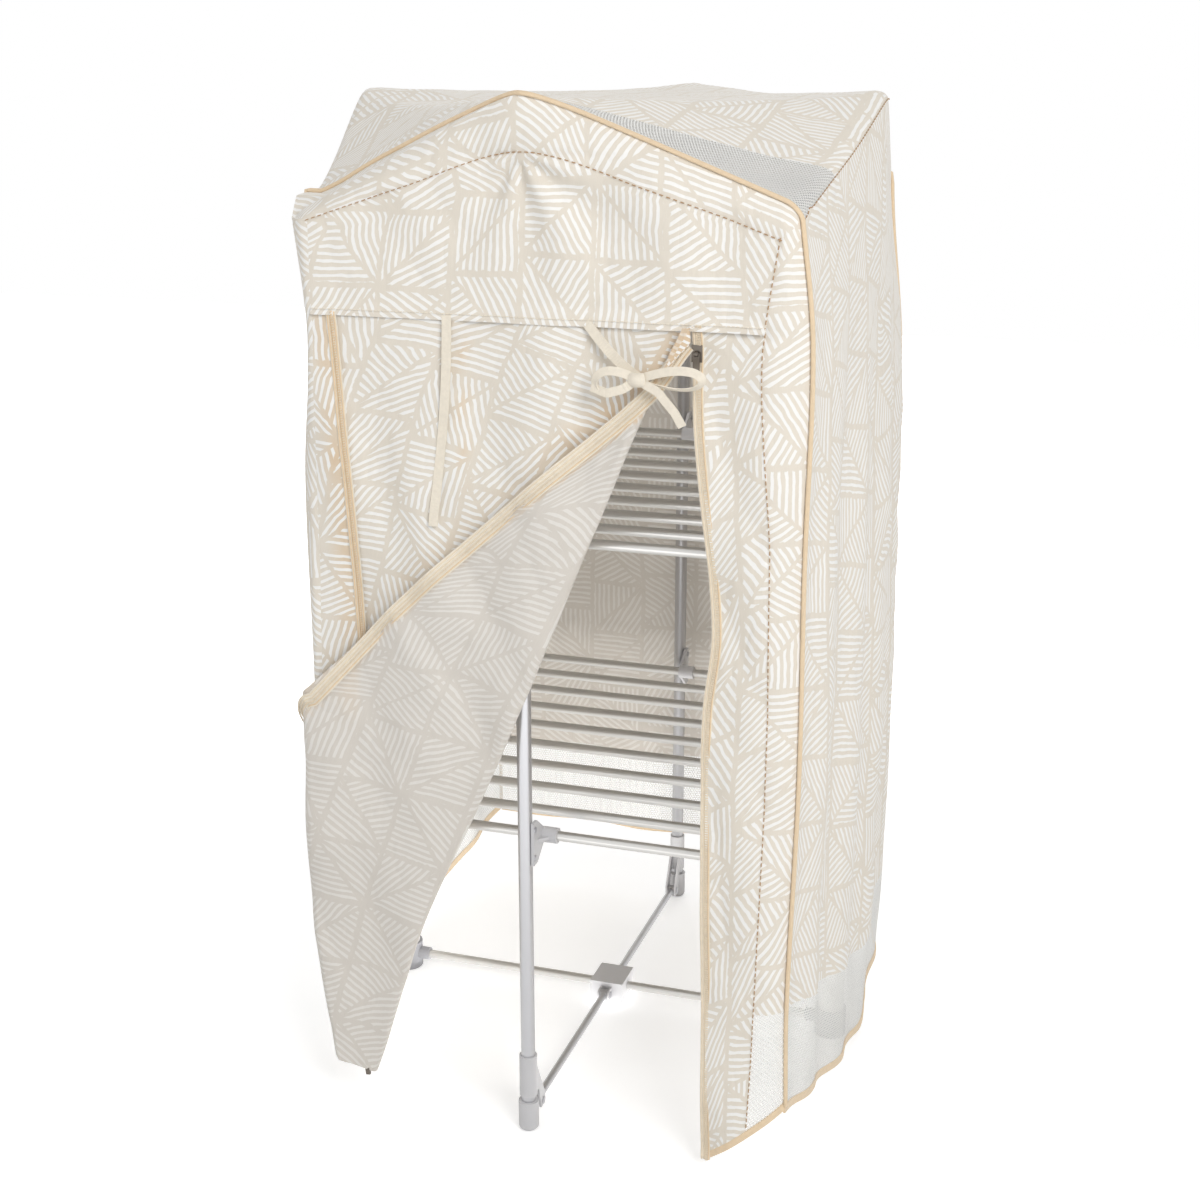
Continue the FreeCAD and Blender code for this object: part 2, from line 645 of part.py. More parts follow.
def make_cover():
    save("cover_roof", roof_prism(UP * CLOTH))
    under = roof_prism(UP * -ROOF_Z)
    window = COVER_FRONT / 2.0
    left_x, right_x = WALL_LEFT, WALL_RIGHT
    rear_x = CORNER_REAR - WALL_INSET
    side_x = COVER_SIDE - WALL_INSET
    front_corners = [Vector(left_x, -WALL_Y, 0), Vector(right_x, -WALL_Y, 0)]
    front = cloth_sheet(front_corners, [FRONT_FOLDS], WALL_FOLD, DEEP * CLOTH, UP * ROOF_Z).common(under)

    valance = [(left_x - window, VALANCE_Z), (right_x + window, VALANCE_Z),
               (right_x + window, ROOF_Z), (left_x - window, ROOF_Z)]
    save("cover_valance", front.common(front_window(valance, window)))
    strip = [(ZIP_BOTTOM_X, STRIP_HEM_Z), (right_x + window, MESH_TOP / 2.0),
             (right_x + window, VALANCE_Z), (ZIP_TOP_X, VALANCE_Z)]
    save("front_strip", front.common(front_window(strip, window)))

    under_flap = [(left_x, VALANCE_Z), (fold_x(VALANCE_Z) - CLEAR, VALANCE_Z),
                  (FLAP_FOLD_X, HEM_Z), (left_x + 2 * WALL_INSET, HEM_Z)]
    lower = front.common(front_window(under_flap, window))
    edge_top_z = VALANCE_Z - FLAP_EDGE_DROP
    over_flap = [(fold_x(edge_top_z), edge_top_z), (FLAP_FOLD_X, HEM_Z),
                 (left_x + 2 * WALL_INSET, HEM_Z), (left_x, FLAP_EDGE_Z)]
    over_corners = [corner - DEEP * FLAP_LAYER for corner in front_corners]
    over = cloth_sheet(over_corners, [7], FLAP_FOLD, DEEP * CLOTH, UP * ROOF_Z)
    over = over.common(front_window(over_flap, window))
    crease_width = FLAP_LAYER / 2.0
    crease = [(fold_x(VALANCE_Z) - CLEAR, VALANCE_Z), (FLAP_FOLD_X, HEM_Z),
              (FLAP_FOLD_X - crease_width, HEM_Z), (fold_x(VALANCE_Z) - crease_width, VALANCE_Z)]
    bridge = plate([Vector(x, -WALL_Y - FLAP_LAYER, z) for x, z in crease], DEEP * FLAP_LAYER)
    save("front_flap", join([lower, over, bridge]))

    sides = {
        "left": [Vector(-rear_x, REAR_WALL_Y, 0), Vector(-side_x, 0, 0), Vector(left_x, -WALL_Y, 0)],
        "right": [Vector(right_x, -WALL_Y, 0), Vector(side_x, 0, 0), Vector(rear_x, REAR_WALL_Y, 0)],
    }
    upper_space = block(-2 * window, 2 * window, -3 * window, 3 * window, MESH_TOP, ROOF_Z)
    lower_space = block(-2 * window, 2 * window, -3 * window, 3 * window, HEM_Z, MESH_TOP)
    inset = CLOTH + CLEAR
    skirt = []
    swelled = wide_roof_space()
    for name, corners in sides.items():
        inward = ALONG * (1 if name == "left" else -1)
        depth = SIDE_FOLD if name == "left" else -SIDE_FOLD
        feet = [corner - inward * SIDE_SWELL for corner in corners]
        wall = cloth_sheet(feet, [5, 5], depth, inward * CLOTH, UP * ROOF_Z + inward * SIDE_SWELL)
        wall = wall.common(swelled)
        wall = wall.common(block(-2 * window, 2 * window, -WALL_Y + WALL_FOLD + inset,
                                 REAR_WALL_Y - WALL_FOLD - inset, 0, ROOF_Z))
        save("cover_" + name, wall.common(upper_space))
        skirt.append(wall.common(lower_space))
    rear_corners = [Vector(rear_x, REAR_WALL_Y, 0), Vector(-rear_x, REAR_WALL_Y, 0)]
    rear = cloth_sheet(rear_corners, [9], WALL_FOLD, DEEP * -CLOTH, UP * ROOF_Z).common(under)
    save("cover_rear", rear.common(upper_space))
    skirt.append(rear.common(lower_space))
    save("mesh_skirt", skirt)


def make_fastenings():
    wide, deep, tall = SLIDER_SIZE
    slider_top = VALANCE_Z - SLIDER_DROP
    edge_x = ZIP_TOP_X + (ZIP_BOTTOM_X - ZIP_TOP_X) * SLIDER_DROP / (VALANCE_Z - STRIP_HEM_Z)
    slider_y = seat_y(edge_x, ZIP_TOP_X + wide / 2.0)
    slider = block(ZIP_TOP_X - wide / 2.0, ZIP_TOP_X + wide / 2.0, slider_y - deep, slider_y,
                   slider_top - tall, slider_top)
    ring_z = slider_top - tall / 2.0
    ring_y = slider_y - deep - PULL_RING
    lug_start = Vector(ZIP_TOP_X - wide / 6.0, ring_y, ring_z)
    lug = rod(2 * PULL_RING, lug_start, ALONG, wide / 3.0)
    lug = lug.fuse(block(ZIP_TOP_X - wide / 6.0, ZIP_TOP_X + wide / 6.0, ring_y, slider_y - deep,
                         ring_z - 2 * PULL_RING, ring_z + 2 * PULL_RING))
    pin_hole = rod(PULL_RING + RUNNING, Vector(ZIP_TOP_X - wide, ring_y, ring_z), ALONG, 2 * wide)
    save("zip_slider", slider.fuse(lug).cut(pin_hole))
    pull_w, pull_d, pull_h = PULL_SIZE
    cross = rod(PULL_RING, Vector(ZIP_TOP_X - pull_w / 2.0, ring_y, ring_z), ALONG, pull_w)
    tab = block(ZIP_TOP_X - pull_w / 2.0, ZIP_TOP_X + pull_w / 2.0, ring_y - pull_d / 2.0,
                ring_y + pull_d / 2.0, ring_z - pull_h, ring_z)
    slot = block(ZIP_TOP_X - wide / 6.0 - CLEAR, ZIP_TOP_X + wide / 6.0 + CLEAR, ring_y - pull_h,
                 ring_y + pull_h, ring_z - 2 * PULL_RING - CLEAR, ring_z + 2 * PULL_RING + CLEAR)
    save("zip_pull", join([tab.cut(slot), cross]))

    half = RIBBON_WIDTH / 2.0
    ribbon_y = seat_y(RIBBON_X - half, RIBBON_X + half)
    save("tie_ribbon", block(RIBBON_X - half, RIBBON_X + half, ribbon_y - CLOTH, ribbon_y,
                             VALANCE_Z - RIBBON_LENGTH, VALANCE_Z))
    save("tie_bow", tie_bow(seat_y(BOW_STRAP_X - half, BOW_STRAP_X + half), -BOW_BACK_Y))


def ribbon_run(start, end):
    across = ALONG * RIBBON_WIDTH
    return plate([start, end, end + across, start + across], DEEP * -CLOTH)


def tie_bow(strap_y, back_y):
    half = RIBBON_WIDTH / 2.0
    bow_z = VALANCE_Z - BOW_DROP
    knot = block(BOW_X - half, BOW_X + half, back_y - BOW_DEPTH, back_y, bow_z - half, bow_z + half)
    pieces = [knot]
    for side in (-1, 1):
        loop = rod(BOW_HEIGHT / 2.0, Vector(0, back_y, 0), DEEP * -1, BOW_DEPTH)
        stretch = FreeCAD.Matrix()
        stretch.A11 = BOW_LOOP / BOW_HEIGHT
        loop = loop.transformGeometry(stretch)
        loop.translate(Vector(BOW_X + side * BOW_LOOP / 2.0, 0, bow_z))
        pieces.append(loop)
    middle = Vector(BOW_X - half, back_y, bow_z)
    pieces.append(ribbon_run(Vector(BOW_STRAP_X - half, strap_y, VALANCE_Z), middle))
    pieces.append(ribbon_run(middle, Vector(BOW_TAIL_X - half, back_y, bow_z - BOW_TAIL_DROP)))
    return join(pieces)


os.makedirs("parts", exist_ok=True)
make_frame()
make_wings()
make_legs()
make_stays()
make_caps()
make_controls()
make_cover()
make_fastenings()
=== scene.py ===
import functools
import math

import bmesh
import bpy
from bpy.props import FloatProperty, FloatVectorProperty, PointerProperty
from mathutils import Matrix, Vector, noise


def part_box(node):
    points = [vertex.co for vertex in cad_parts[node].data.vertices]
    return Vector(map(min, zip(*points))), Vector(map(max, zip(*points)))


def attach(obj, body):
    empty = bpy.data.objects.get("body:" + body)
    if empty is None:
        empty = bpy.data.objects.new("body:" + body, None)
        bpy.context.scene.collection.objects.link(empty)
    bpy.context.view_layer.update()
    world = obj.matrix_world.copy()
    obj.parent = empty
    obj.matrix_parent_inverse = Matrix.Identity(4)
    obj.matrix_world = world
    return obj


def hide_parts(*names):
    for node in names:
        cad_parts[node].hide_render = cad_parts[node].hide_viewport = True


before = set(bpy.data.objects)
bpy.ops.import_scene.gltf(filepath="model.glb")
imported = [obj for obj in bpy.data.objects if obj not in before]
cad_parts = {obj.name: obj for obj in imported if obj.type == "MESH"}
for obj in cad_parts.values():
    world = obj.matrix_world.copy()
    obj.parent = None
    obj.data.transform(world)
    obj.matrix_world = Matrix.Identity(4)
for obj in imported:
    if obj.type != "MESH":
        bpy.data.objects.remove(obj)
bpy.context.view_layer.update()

bl_info = {
    "name": "Heated Clothes Airer",
    "version": (1, 0, 0),
    "blender": (4, 5, 0),
    "location": "View3D > Sidebar > Airer",
    "description": "Dresses a three-tier heated airer: tubes, plastics and a zip-up printed cover",
    "category": "Object",
}

PHOTO_PIXELS = 1200.0
SENSOR = 36.0
WELD = 1e-6
ENDS = ("front", "rear")
TIERS = ("low", "middle", "top")

# Places that the frame gives, with the cloth clear of it
CLEAR = 0.004
SEAM_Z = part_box("cover_valance")[0][2]
ROOF_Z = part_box("cover_roof")[1][2] + CLEAR
LEG_FRONT_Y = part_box("front_leg_tube")[0][1] - CLEAR
WING_REACH = -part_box("front_top_arms")[0][1]
WING_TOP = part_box("front_top_arms")[1][2]
SLIDER_LOW, SLIDER_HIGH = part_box("zip_slider")

# Lines of the cover as seen from the front, in metres: (x, z) from top to bottom or left to right
GABLE_SEAM = ((-0.262, 1.226), (-0.140, 1.266), (0.013, 1.310), (0.158, 1.274), (0.322, 1.219))
RIGHT_SEAM = ((0.322, 1.219), (0.306, 1.083), (0.322, 0.850), (0.323, 0.480), (0.311, 0.060))
RIGHT_EDGE = ((0.341, 1.252), (0.359, 1.100), (0.358, 0.840), (0.360, 0.560), (0.354, 0.250), (0.357, 0.110))
LEFT_SEAM = ((-0.262, 1.226), (-0.262, 1.060), (-0.270, 0.700), (-0.272, 0.300), (-0.262, 0.060))
LEFT_EDGE = ((-0.293, 1.228), (-0.279, 1.080), (-0.292, 0.900), (-0.293, 0.600), (-0.301, 0.300),
             (-0.272, 0.050))
ZIP_LINE = ((0.227, 1.118), (0.234, 0.980), (0.254, 0.800), (0.258, 0.735), (0.247, 0.640), (0.249, 0.420),
            (0.253, 0.200), (0.256, 0.016))
LEFT_ZIP = ((-0.236, 1.116), (-0.226, 1.000), (-0.219, 0.870), (-0.216, 0.740), (-0.214, 0.640))
FOLD_LINE = ((0.2215, 1.118), (0.163, 1.007), (0.094, 0.842), (0.020, 0.654), (-0.064, 0.465),
             (-0.132, 0.311), (-0.222, 0.040))
FLAP_EDGE = ((0.2215, 1.100), (0.162, 1.036), (0.011, 0.905), (-0.153, 0.756), (-0.279, 0.621),
             (-0.420, 0.480))
SIDE_LINE = ((0.371, 1.374), (0.377, 1.104), (0.389, 0.690), (0.390, 0.163), (0.386, 0.010))
KNOT = (0.164, 1.057)
BOW_TAILS = {"right": (KNOT, (0.190, 1.045), (0.210, 1.022), (0.219, 1.005)),
             "left": (KNOT, (0.148, 1.046), (0.128, 1.040), (0.108, 1.046))}
BOW_LOOPS = {"left": ((0.112, 1.050), 0.018), "right": ((0.242, 1.060), 0.015)}     # tip and half height

# Single places on the cover
GABLE_APEX_X = 0.010
CORNER_Z = 1.246                # rear corners of the roof
BAND_LOW_Z = 0.245              # where the front bands change to net
HEM_AT_ZIP, HEM_AT_SEAM, HEM_AT_EDGE = 0.016, 0.066, 0.106
SIDE_HEM_LOW, SIDE_HEM_RISE = 0.016, 0.088
SIDE_NET_LOW, SIDE_NET_RISE = 0.150, 0.098
LOWEST_SHARE = 0.48             # where along a side wall its hem and net line are lowest
FLAP_LOW_Z, FLAP_HEM_RISE = 0.060, 0.030
PLEAT_X = -0.071
TIE_TOP_X, TIE_LOW_X, TIE_LOW_Z = -0.083, -0.100, 0.857
BOW_TOP_X = 0.093
REAR_SHARE = 0.98               # share of the side's hem and net line that the rear goes on with
VENT_REACH = 0.34               # depth of the net vent at the right, as a share of the roof's front half

# Folds, creases and sags
FOLD_START_X, HALF_FOLD = -0.299, 0.0724
FRONT_FOLD, FRONT_RIPPLE, FRONT_DENT = 0.0064, 0.0022, 0.012
APEX_CREASE, BOW_CREASE, TIE_PLEAT = 0.0066, 0.0055, 0.0045
SLIDER_SPREAD = 0.0010          # square metres round the slider where the front lies close behind it
EDGE_SLANT = 0.73               # cosine of the slant of the flap's turned-back edge
FLAP_SAG, FLAP_DENT = 0.011, 0.008
WRAP_BEND, WRAP_MOST, WRAP_IN, WRAP_OUT = 0.016, 0.16, 0.008, 0.014
BAND_BELLY, BAND_DENT = 0.007, 0.004
SIDE_SAG = {1: 0.008, -1: 0.034}
SIDE_FOLDS, SIDE_FOLD, SIDE_FOLD_LOW, SIDE_DENT = 5.0, 0.006, 0.003, 0.008
SHOULDER, CORNER_SHOULDER, SHOULDER_FROM = 0.012, 0.015, 0.945
REAR_FOLD, REAR_DENT, REAR_SWELL = 0.006, 0.005, 0.026
ROOF_SAG, ROOF_DENT, APEX_PULL = 0.010, 0.006, 0.010
WING_GAP, WING_SLOPE = 0.0045, 0.8     # roof cloth over the upper wings and past them

# How far hems and trims stand off or lie over the cloth that they are sewn to
VALANCE_OUT, VALANCE_OVERLAP, NET_OVERLAP = 0.0042, 0.006, 0.001
THREAD_OUT, VALANCE_THREAD_OUT, ROOF_THREAD_OUT = 0.0012, 0.0048, 0.001
PIPING_OUT, ROOF_PIPING_UP, REAR_PIPING_OUT = 0.002, 0.0022, 0.003
HEM_UP, FRONT_HEM_UP = 0.004, 0.002
ZIP_OUT, FLAP_ZIP_OUT, RIDGE_OUT, TOOTH_OUT = 0.0020, 0.0024, 0.0008, 0.0013
TIE_OUT, BOW_OUT = 0.004, 0.024
TOOTH = (0.0042, 0.0018, 0.0019)

# Light: how much of the world lights the object, glow and fading of the floor, and the lamps
WORLD_LIGHT = 0.52
FLOOR_GLOW, FLOOR_FADE_FROM, FLOOR_FADE_TO = 0.42, 0.9, 2.2
HEART = (0.0, 0.0, 0.7)
LAMPS = (                       # name, place, target, size and power in watts
    ("key", (2.6, -3.1, 2.8), HEART, 1.8, 94.0),
    ("fill", (-3.4, -2.2, 2.2), HEART, 2.8, 24.0),
    ("back", (-0.5, 3.4, 3.0), HEART, 3.0, 52.0),
    ("roof", (0.0, 0.0, 1.2), (0.0, 0.0, 0.0), 0.66, 1.4),
    ("bounce", (0.0, 0.0, 0.006), (0.0, 0.0, 1.0), 0.62, 3.0),
)
MIRRORED_LAMPS = ("key", "fill")


def metres(name, description, value):
    return FloatProperty(name=name, description=description, default=value, unit="LENGTH")


def paint(name, description, value):
    return FloatVectorProperty(name=name, description=description, default=value, subtype="COLOR", size=3)


class AirerCover(bpy.types.PropertyGroup):
    """Sizes of the fabric cover."""

    cloth: metres("Cloth", "Thickness of the printed cloth", 0.0012)
    net: metres("Net", "Thickness of the net", 0.0006)
    front_y: metres("Front", "Place of the front panel", -0.400)
    edge_y: metres("Piped edge", "Place of the piped front edge", -0.384)
    rear_y: metres("Rear", "Place of the rear panel", 0.412)
    rear_x: metres("Rear corner", "Rear corners of the roof from the middle", 0.314)
    left_piping_y: metres("Left piping", "Place of the piping on the left wall", -0.300)
    fold_radius: metres("Fold", "Roundness of the flap's fold", 0.0062)
    piping_radius: metres("Piping", "Radius of the piping", 0.0029)
    hem_height: metres("Hem", "Height of the hem binding", 0.011)
    hem_thickness: metres("Hem thickness", "Thickness of the hem binding", 0.0030)
    tape_width: metres("Zip tape", "Width of one zip tape", 0.013)
    tape_thickness: metres("Zip tape thickness", "Thickness of the zip tapes", 0.0016)
    facing_width: metres("Facing", "Width of the tape on the flap's free edge", 0.019)
    ridge_radius: metres("Ridge", "Radius of the ridges on the zip tapes", 0.0010)
    tooth_pitch: metres("Tooth pitch", "Distance from zip tooth to tooth", 0.0032)
    stitch_pitch: metres("Stitch pitch", "Distance from stitch to stitch", 0.0085)
    stitch: metres("Stitch", "Thickness of the seam thread", 0.0011)
    hem_stitch_pitch: metres("Hem stitch pitch", "Distance of the stitches on the valance's hem", 0.0055)
    hem_stitch: metres("Hem stitch", "Thickness of the thread on the valance's hem", 0.0009)
    ribbon_width: metres("Ribbon", "Width of the tie ribbons", 0.012)
    ribbon: metres("Ribbon thickness", "Thickness of the tie ribbons", 0.0011)


class AirerFinish(bpy.types.PropertyGroup):
    """Colours of the finishes and scale of the print."""

    cloth: paint("Cloth", "Ground of the print", (0.745, 0.688, 0.598))
    hatch: paint("Hatch", "Lines of the print", (0.890, 0.878, 0.850))
    # The inside's ground is darker than the outside's: partly its own colour, partly painted shade for the
    # flap's inner face, which lies in shade.
    lining_and_painted_shade: paint("Lining", "Inside of the cloth", (0.660, 0.618, 0.560))
    # Painted shade: the warm shadow of folds and the warm light through cloth lying double, painted into the
    # cloth's colour where the mesh marks it.
    painted_fold_shade_colour: paint("Fold shade", "Cloth where it lies double", (0.700, 0.530, 0.350))
    binding: paint("Binding", "Piping and hems", (0.790, 0.620, 0.420))
    tape: paint("Zip tape", "Ridges and teeth of the front zip", (0.800, 0.690, 0.530))
    ribbon: paint("Ribbon", "Tie ribbons and zip tapes", (0.830, 0.760, 0.640))
    netting: paint("Netting", "White net", (0.87, 0.865, 0.84))
    thread: paint("Thread", "Thread of the seams", (0.42, 0.27, 0.15))
    zip_metal: paint("Zip metal", "Slider, pull and stop", (0.16, 0.14, 0.12))
    silver: paint("Silver", "Legs and stays", (0.52, 0.52, 0.535))
    bars: paint("Bars", "Heated bars and rails", (0.66, 0.65, 0.63))
    enamel: paint("Enamel", "Thick posts", (0.70, 0.69, 0.67))
    pale: paint("Pale plastic", "Feet and sleeves of the legs", (0.56, 0.555, 0.565))
    grey: paint("Grey plastic", "Feet and brackets of the posts", (0.36, 0.36, 0.38))
    steel: paint("Steel", "Pins and rivets", (0.5, 0.5, 0.52))
    core: paint("Core", "Heating elements", (0.42, 0.26, 0.18))
    black: paint("Black plastic", "Controls", (0.03, 0.03, 0.033))
    amber: paint("Amber", "Pilot lens", (0.75, 0.28, 0.05))
    patch: metres("Patch", "Size of one hatched patch", 0.092)
    strokes: FloatProperty(name="Strokes", description="Strokes across one patch", default=10.4)
    thread_width: metres("Weave", "Width of one thread of the printed cloth", 0.0007)
    tape_thread: metres("Tape weave", "Width of one thread of the bindings and tapes", 0.0009)
    ribbon_thread: metres("Ribbon weave", "Width of one thread of the ribbons", 0.0006)
    net_wide: metres("Net cell", "Width of one cell of the net", 0.0044)
    net_high: metres("Net cell height", "Height of one cell of the net", 0.0038)


class AirerStage(bpy.types.PropertyGroup):
    """Camera and floor."""

    eye: FloatVectorProperty(name="Eye", description="Camera place", subtype="TRANSLATION", size=3,
                             default=(0.7623, -2.4128, 1.4224))
    yaw: FloatProperty(name="Yaw", description="Turn of the view from +Y", default=math.radians(-17.955),
                       subtype="ANGLE")
    pitch: FloatProperty(name="Pitch", description="Fall of the view", default=math.radians(16.946),
                         subtype="ANGLE")
    focal_pixels: FloatProperty(name="Focal length", description="In pixels of the photo", default=1804.4)
    floor_size: metres("Floor", "Side of the floor", 14.0)


def sizes():
    return bpy.context.scene.airer_cover


def look():
    return bpy.context.scene.airer_finish


# Lines and noise


def lerp(a, b, t):
    return a + (b - a) * t


def rise(value, low, high):
    """Smooth step from 0 at low to 1 at high."""
    t = min(1.0, max(0.0, (value - low) / (high - low)))
    return t * t * (3.0 - 2.0 * t)


def shares(count, first=0):
    """Even steps from first / count up to 1."""
    return [i / count for i in range(first, count + 1)]


def along(line, share):
    """Point at a share of a line's length."""
    lengths = [math.dist(a, b) for a, b in zip(line[:-1], line[1:])]
    target = share * sum(lengths)
    for (a, b), length in zip(zip(line[:-1], line[1:]), lengths):
        if target <= length or b is line[-1]:
            k = min(1.0, target / length)
            return (lerp(a[0], b[0], k), lerp(a[1], b[1], k))
        target -= length


@functools.cache
def ordered(points, axis):
    return sorted(points, key=lambda p: p[axis])


def smooth_between(points, key, axis):
    """Smooth curve through points: the other coordinate at a value of one axis."""
    pts = ordered(points, axis)
    other = 1 - axis
    if key <= pts[0][axis]:
        return pts[0][other]
    if key >= pts[-1][axis]:
        return pts[-1][other]
    i = max(j for j in range(len(pts) - 1) if pts[j][axis] <= key)
    slopes = []
    for j in (i, i + 1):
        a, b = pts[max(0, j - 1)], pts[min(len(pts) - 1, j + 1)]
        slopes.append((b[other] - a[other]) / (b[axis] - a[axis]))
    a, b = pts[i], pts[i + 1]
    h = b[axis] - a[axis]
    t = (key - a[axis]) / h
    return (a[other] * (2 * t ** 3 - 3 * t ** 2 + 1) + slopes[0] * h * (t ** 3 - 2 * t ** 2 + t)
            + b[other] * (3 * t ** 2 - 2 * t ** 3) + slopes[1] * h * (t ** 3 - t ** 2))


def x_at(line, z):
    return smooth_between(line, z, 1)


def z_at(line, x):
    return smooth_between(line, x, 0)


def smooth_line(line, y, count, axis=1):
    """Evenly spaced points on the smooth curve through a line, each at the depth y(x, z)."""
    points = []
    for share in shares(count):
        key = lerp(line[0][axis], line[-1][axis], share)
        other = smooth_between(line, key, axis)
        x, z = (other, key) if axis == 1 else (key, other)
        points.append((x, y(x, z), z))
    return points


def beside(points, shift, lift):
    """A line moved sideways in the plane of the front, and forward."""
    moved = []
    for i, (x, y, z) in enumerate(points):
        a, b = points[max(0, i - 1)], points[min(len(points) - 1, i + 1)]
        length = math.hypot(b[0] - a[0], b[2] - a[2])
        moved.append((x - shift * (b[2] - a[2]) / length, y - lift, z + shift * (b[0] - a[0]) / length))
    return moved


def ripple(a, b, size, seed):
    return noise.noise(Vector((a / size, b / size, seed)))


def crumple(a, b, seed):
    """Soft unevenness of hanging cloth, from about -1 to 1."""
    broad = ripple(a, b * 0.45, 0.16, seed)
    fine = ripple(a, b * 0.6, 0.055, seed + 7.3)
    ridge = 0.5 - 2.0 * abs(ripple(a + 0.3 * b, b * 0.4, 0.10, seed + 3.1))
    return 0.50 * broad + 0.20 * fine + 0.40 * ridge


# Node trees


class Graph:
    """Short words for building a node tree."""

    def __init__(self, tree):
        self.tree = tree

    def add(self, kind, **settings):
        item = self.tree.nodes.new(kind)
        for key, value in settings.items():
            setattr(item, key, value)
        return item

    def plug(self, socket, value):
        if isinstance(value, bpy.types.NodeSocket):
            self.tree.links.new(value, socket)
        else:
            socket.default_value = value

    def fill(self, item, *values):
        for socket, value in zip(item.inputs, values):
            self.plug(socket, value)
        return item.outputs[0]

    def math(self, operation, *values):
        return self.fill(self.add("ShaderNodeMath", operation=operation), *values)

    def vector(self, operation, *values):
        item = self.add("ShaderNodeVectorMath", operation=operation)
        self.fill(item, *values)
        return item.outputs["Value" if operation == "LENGTH" else "Vector"]

    def noise(self, vector, scale, detail=2.0, roughness=0.5):
        item = self.add("ShaderNodeTexNoise")
        values = {"Vector": vector, "Scale": scale, "Detail": detail, "Roughness": roughness}
        for key, value in values.items():
            self.plug(item.inputs[key], value)
        return item.outputs

    def dice(self, socket, value, dimensions):
        item = self.add("ShaderNodeTexWhiteNoise", noise_dimensions=dimensions)
        self.plug(item.inputs[socket], value)
        return item.outputs["Value"]

    def mix(self, share, a, b):
        item = self.add("ShaderNodeMix", data_type="RGBA")
        for i, value in ((0, share), (6, a), (7, b)):
            self.plug(item.inputs[i], value)
        return item.outputs[2]

    def step(self, value, low, high):
        item = self.add("ShaderNodeMapRange", interpolation_type="SMOOTHSTEP")
        for key, given in (("Value", value), ("From Min", low), ("From Max", high)):
            self.plug(item.inputs[key], given)
        return item.outputs["Result"]

    def parts(self, vector):
        item = self.add("ShaderNodeSeparateXYZ")
        self.plug(item.inputs[0], vector)
        return item.outputs

    def pack(self, x, y, z=0.0):
        return self.fill(self.add("ShaderNodeCombineXYZ"), x, y, z)

    def coordinates(self, kind):
        return self.add("ShaderNodeTexCoord").outputs[kind]

    def group(self, tree, **values):
        item = self.add("ShaderNodeGroup", node_tree=tree)
        for key, value in values.items():
            self.plug(item.inputs[key], value)
        return item.outputs

    def seen(self):
        """1 on the rays that the camera, a mirror or a clear piece sends out."""
        path = self.add("ShaderNodeLightPath").outputs
        onward = self.math("MAXIMUM", path["Is Glossy Ray"], path["Is Transmission Ray"])
        return self.math("MAXIMUM", path["Is Camera Ray"], onward)


def shared(store, name):
    """For a function that makes a node group or material: made once, then found by its name."""
    def wrap(make):
        @functools.wraps(make)
        def find():
            return getattr(bpy.data, store).get(name) or make(name)
        return find
    return wrap


def new_group(name, inputs, outputs, kind="ShaderNodeTree"):
    tree = bpy.data.node_groups.new(name, kind)
    for way, sockets in (("INPUT", inputs), ("OUTPUT", outputs)):
        for label, socket in sockets.items():
            tree.interface.new_socket(label, in_out=way, socket_type="NodeSocket" + socket)
    g = Graph(tree)
    return g, g.add("NodeGroupInput").outputs, g.add("NodeGroupOutput").inputs


@shared("node_groups", "Row along a seam")
def row_tree(name):
    """Geometry Nodes: a row of small blocks along a line."""
    inputs = {"Geometry": "Geometry", "Spacing": "Float", "Size": "Vector", "Material": "Material"}
    g, source, result = new_group(name, inputs, {"Geometry": "Geometry"}, "GeometryNodeTree")
    curve = g.fill(g.add("GeometryNodeMeshToCurve"), source["Geometry"])
    points = g.add("GeometryNodeCurveToPoints", mode="LENGTH")
    g.plug(points.inputs[0], curve)
    g.plug(points.inputs["Length"], source["Spacing"])
    block = g.add("GeometryNodeMeshCube")
    g.plug(block.inputs["Size"], source["Size"])
    copies = g.add("GeometryNodeInstanceOnPoints")
    g.plug(copies.inputs["Points"], points.outputs["Points"])
    g.plug(copies.inputs["Instance"], block.outputs["Mesh"])
    g.plug(copies.inputs["Rotation"], points.outputs["Rotation"])
    coat = g.add("GeometryNodeSetMaterial")
    g.plug(coat.inputs[0], g.fill(g.add("GeometryNodeRealizeInstances"), copies.outputs[0]))
    g.plug(coat.inputs["Material"], source["Material"])
    g.plug(result[0], coat.outputs[0])
    return g.tree


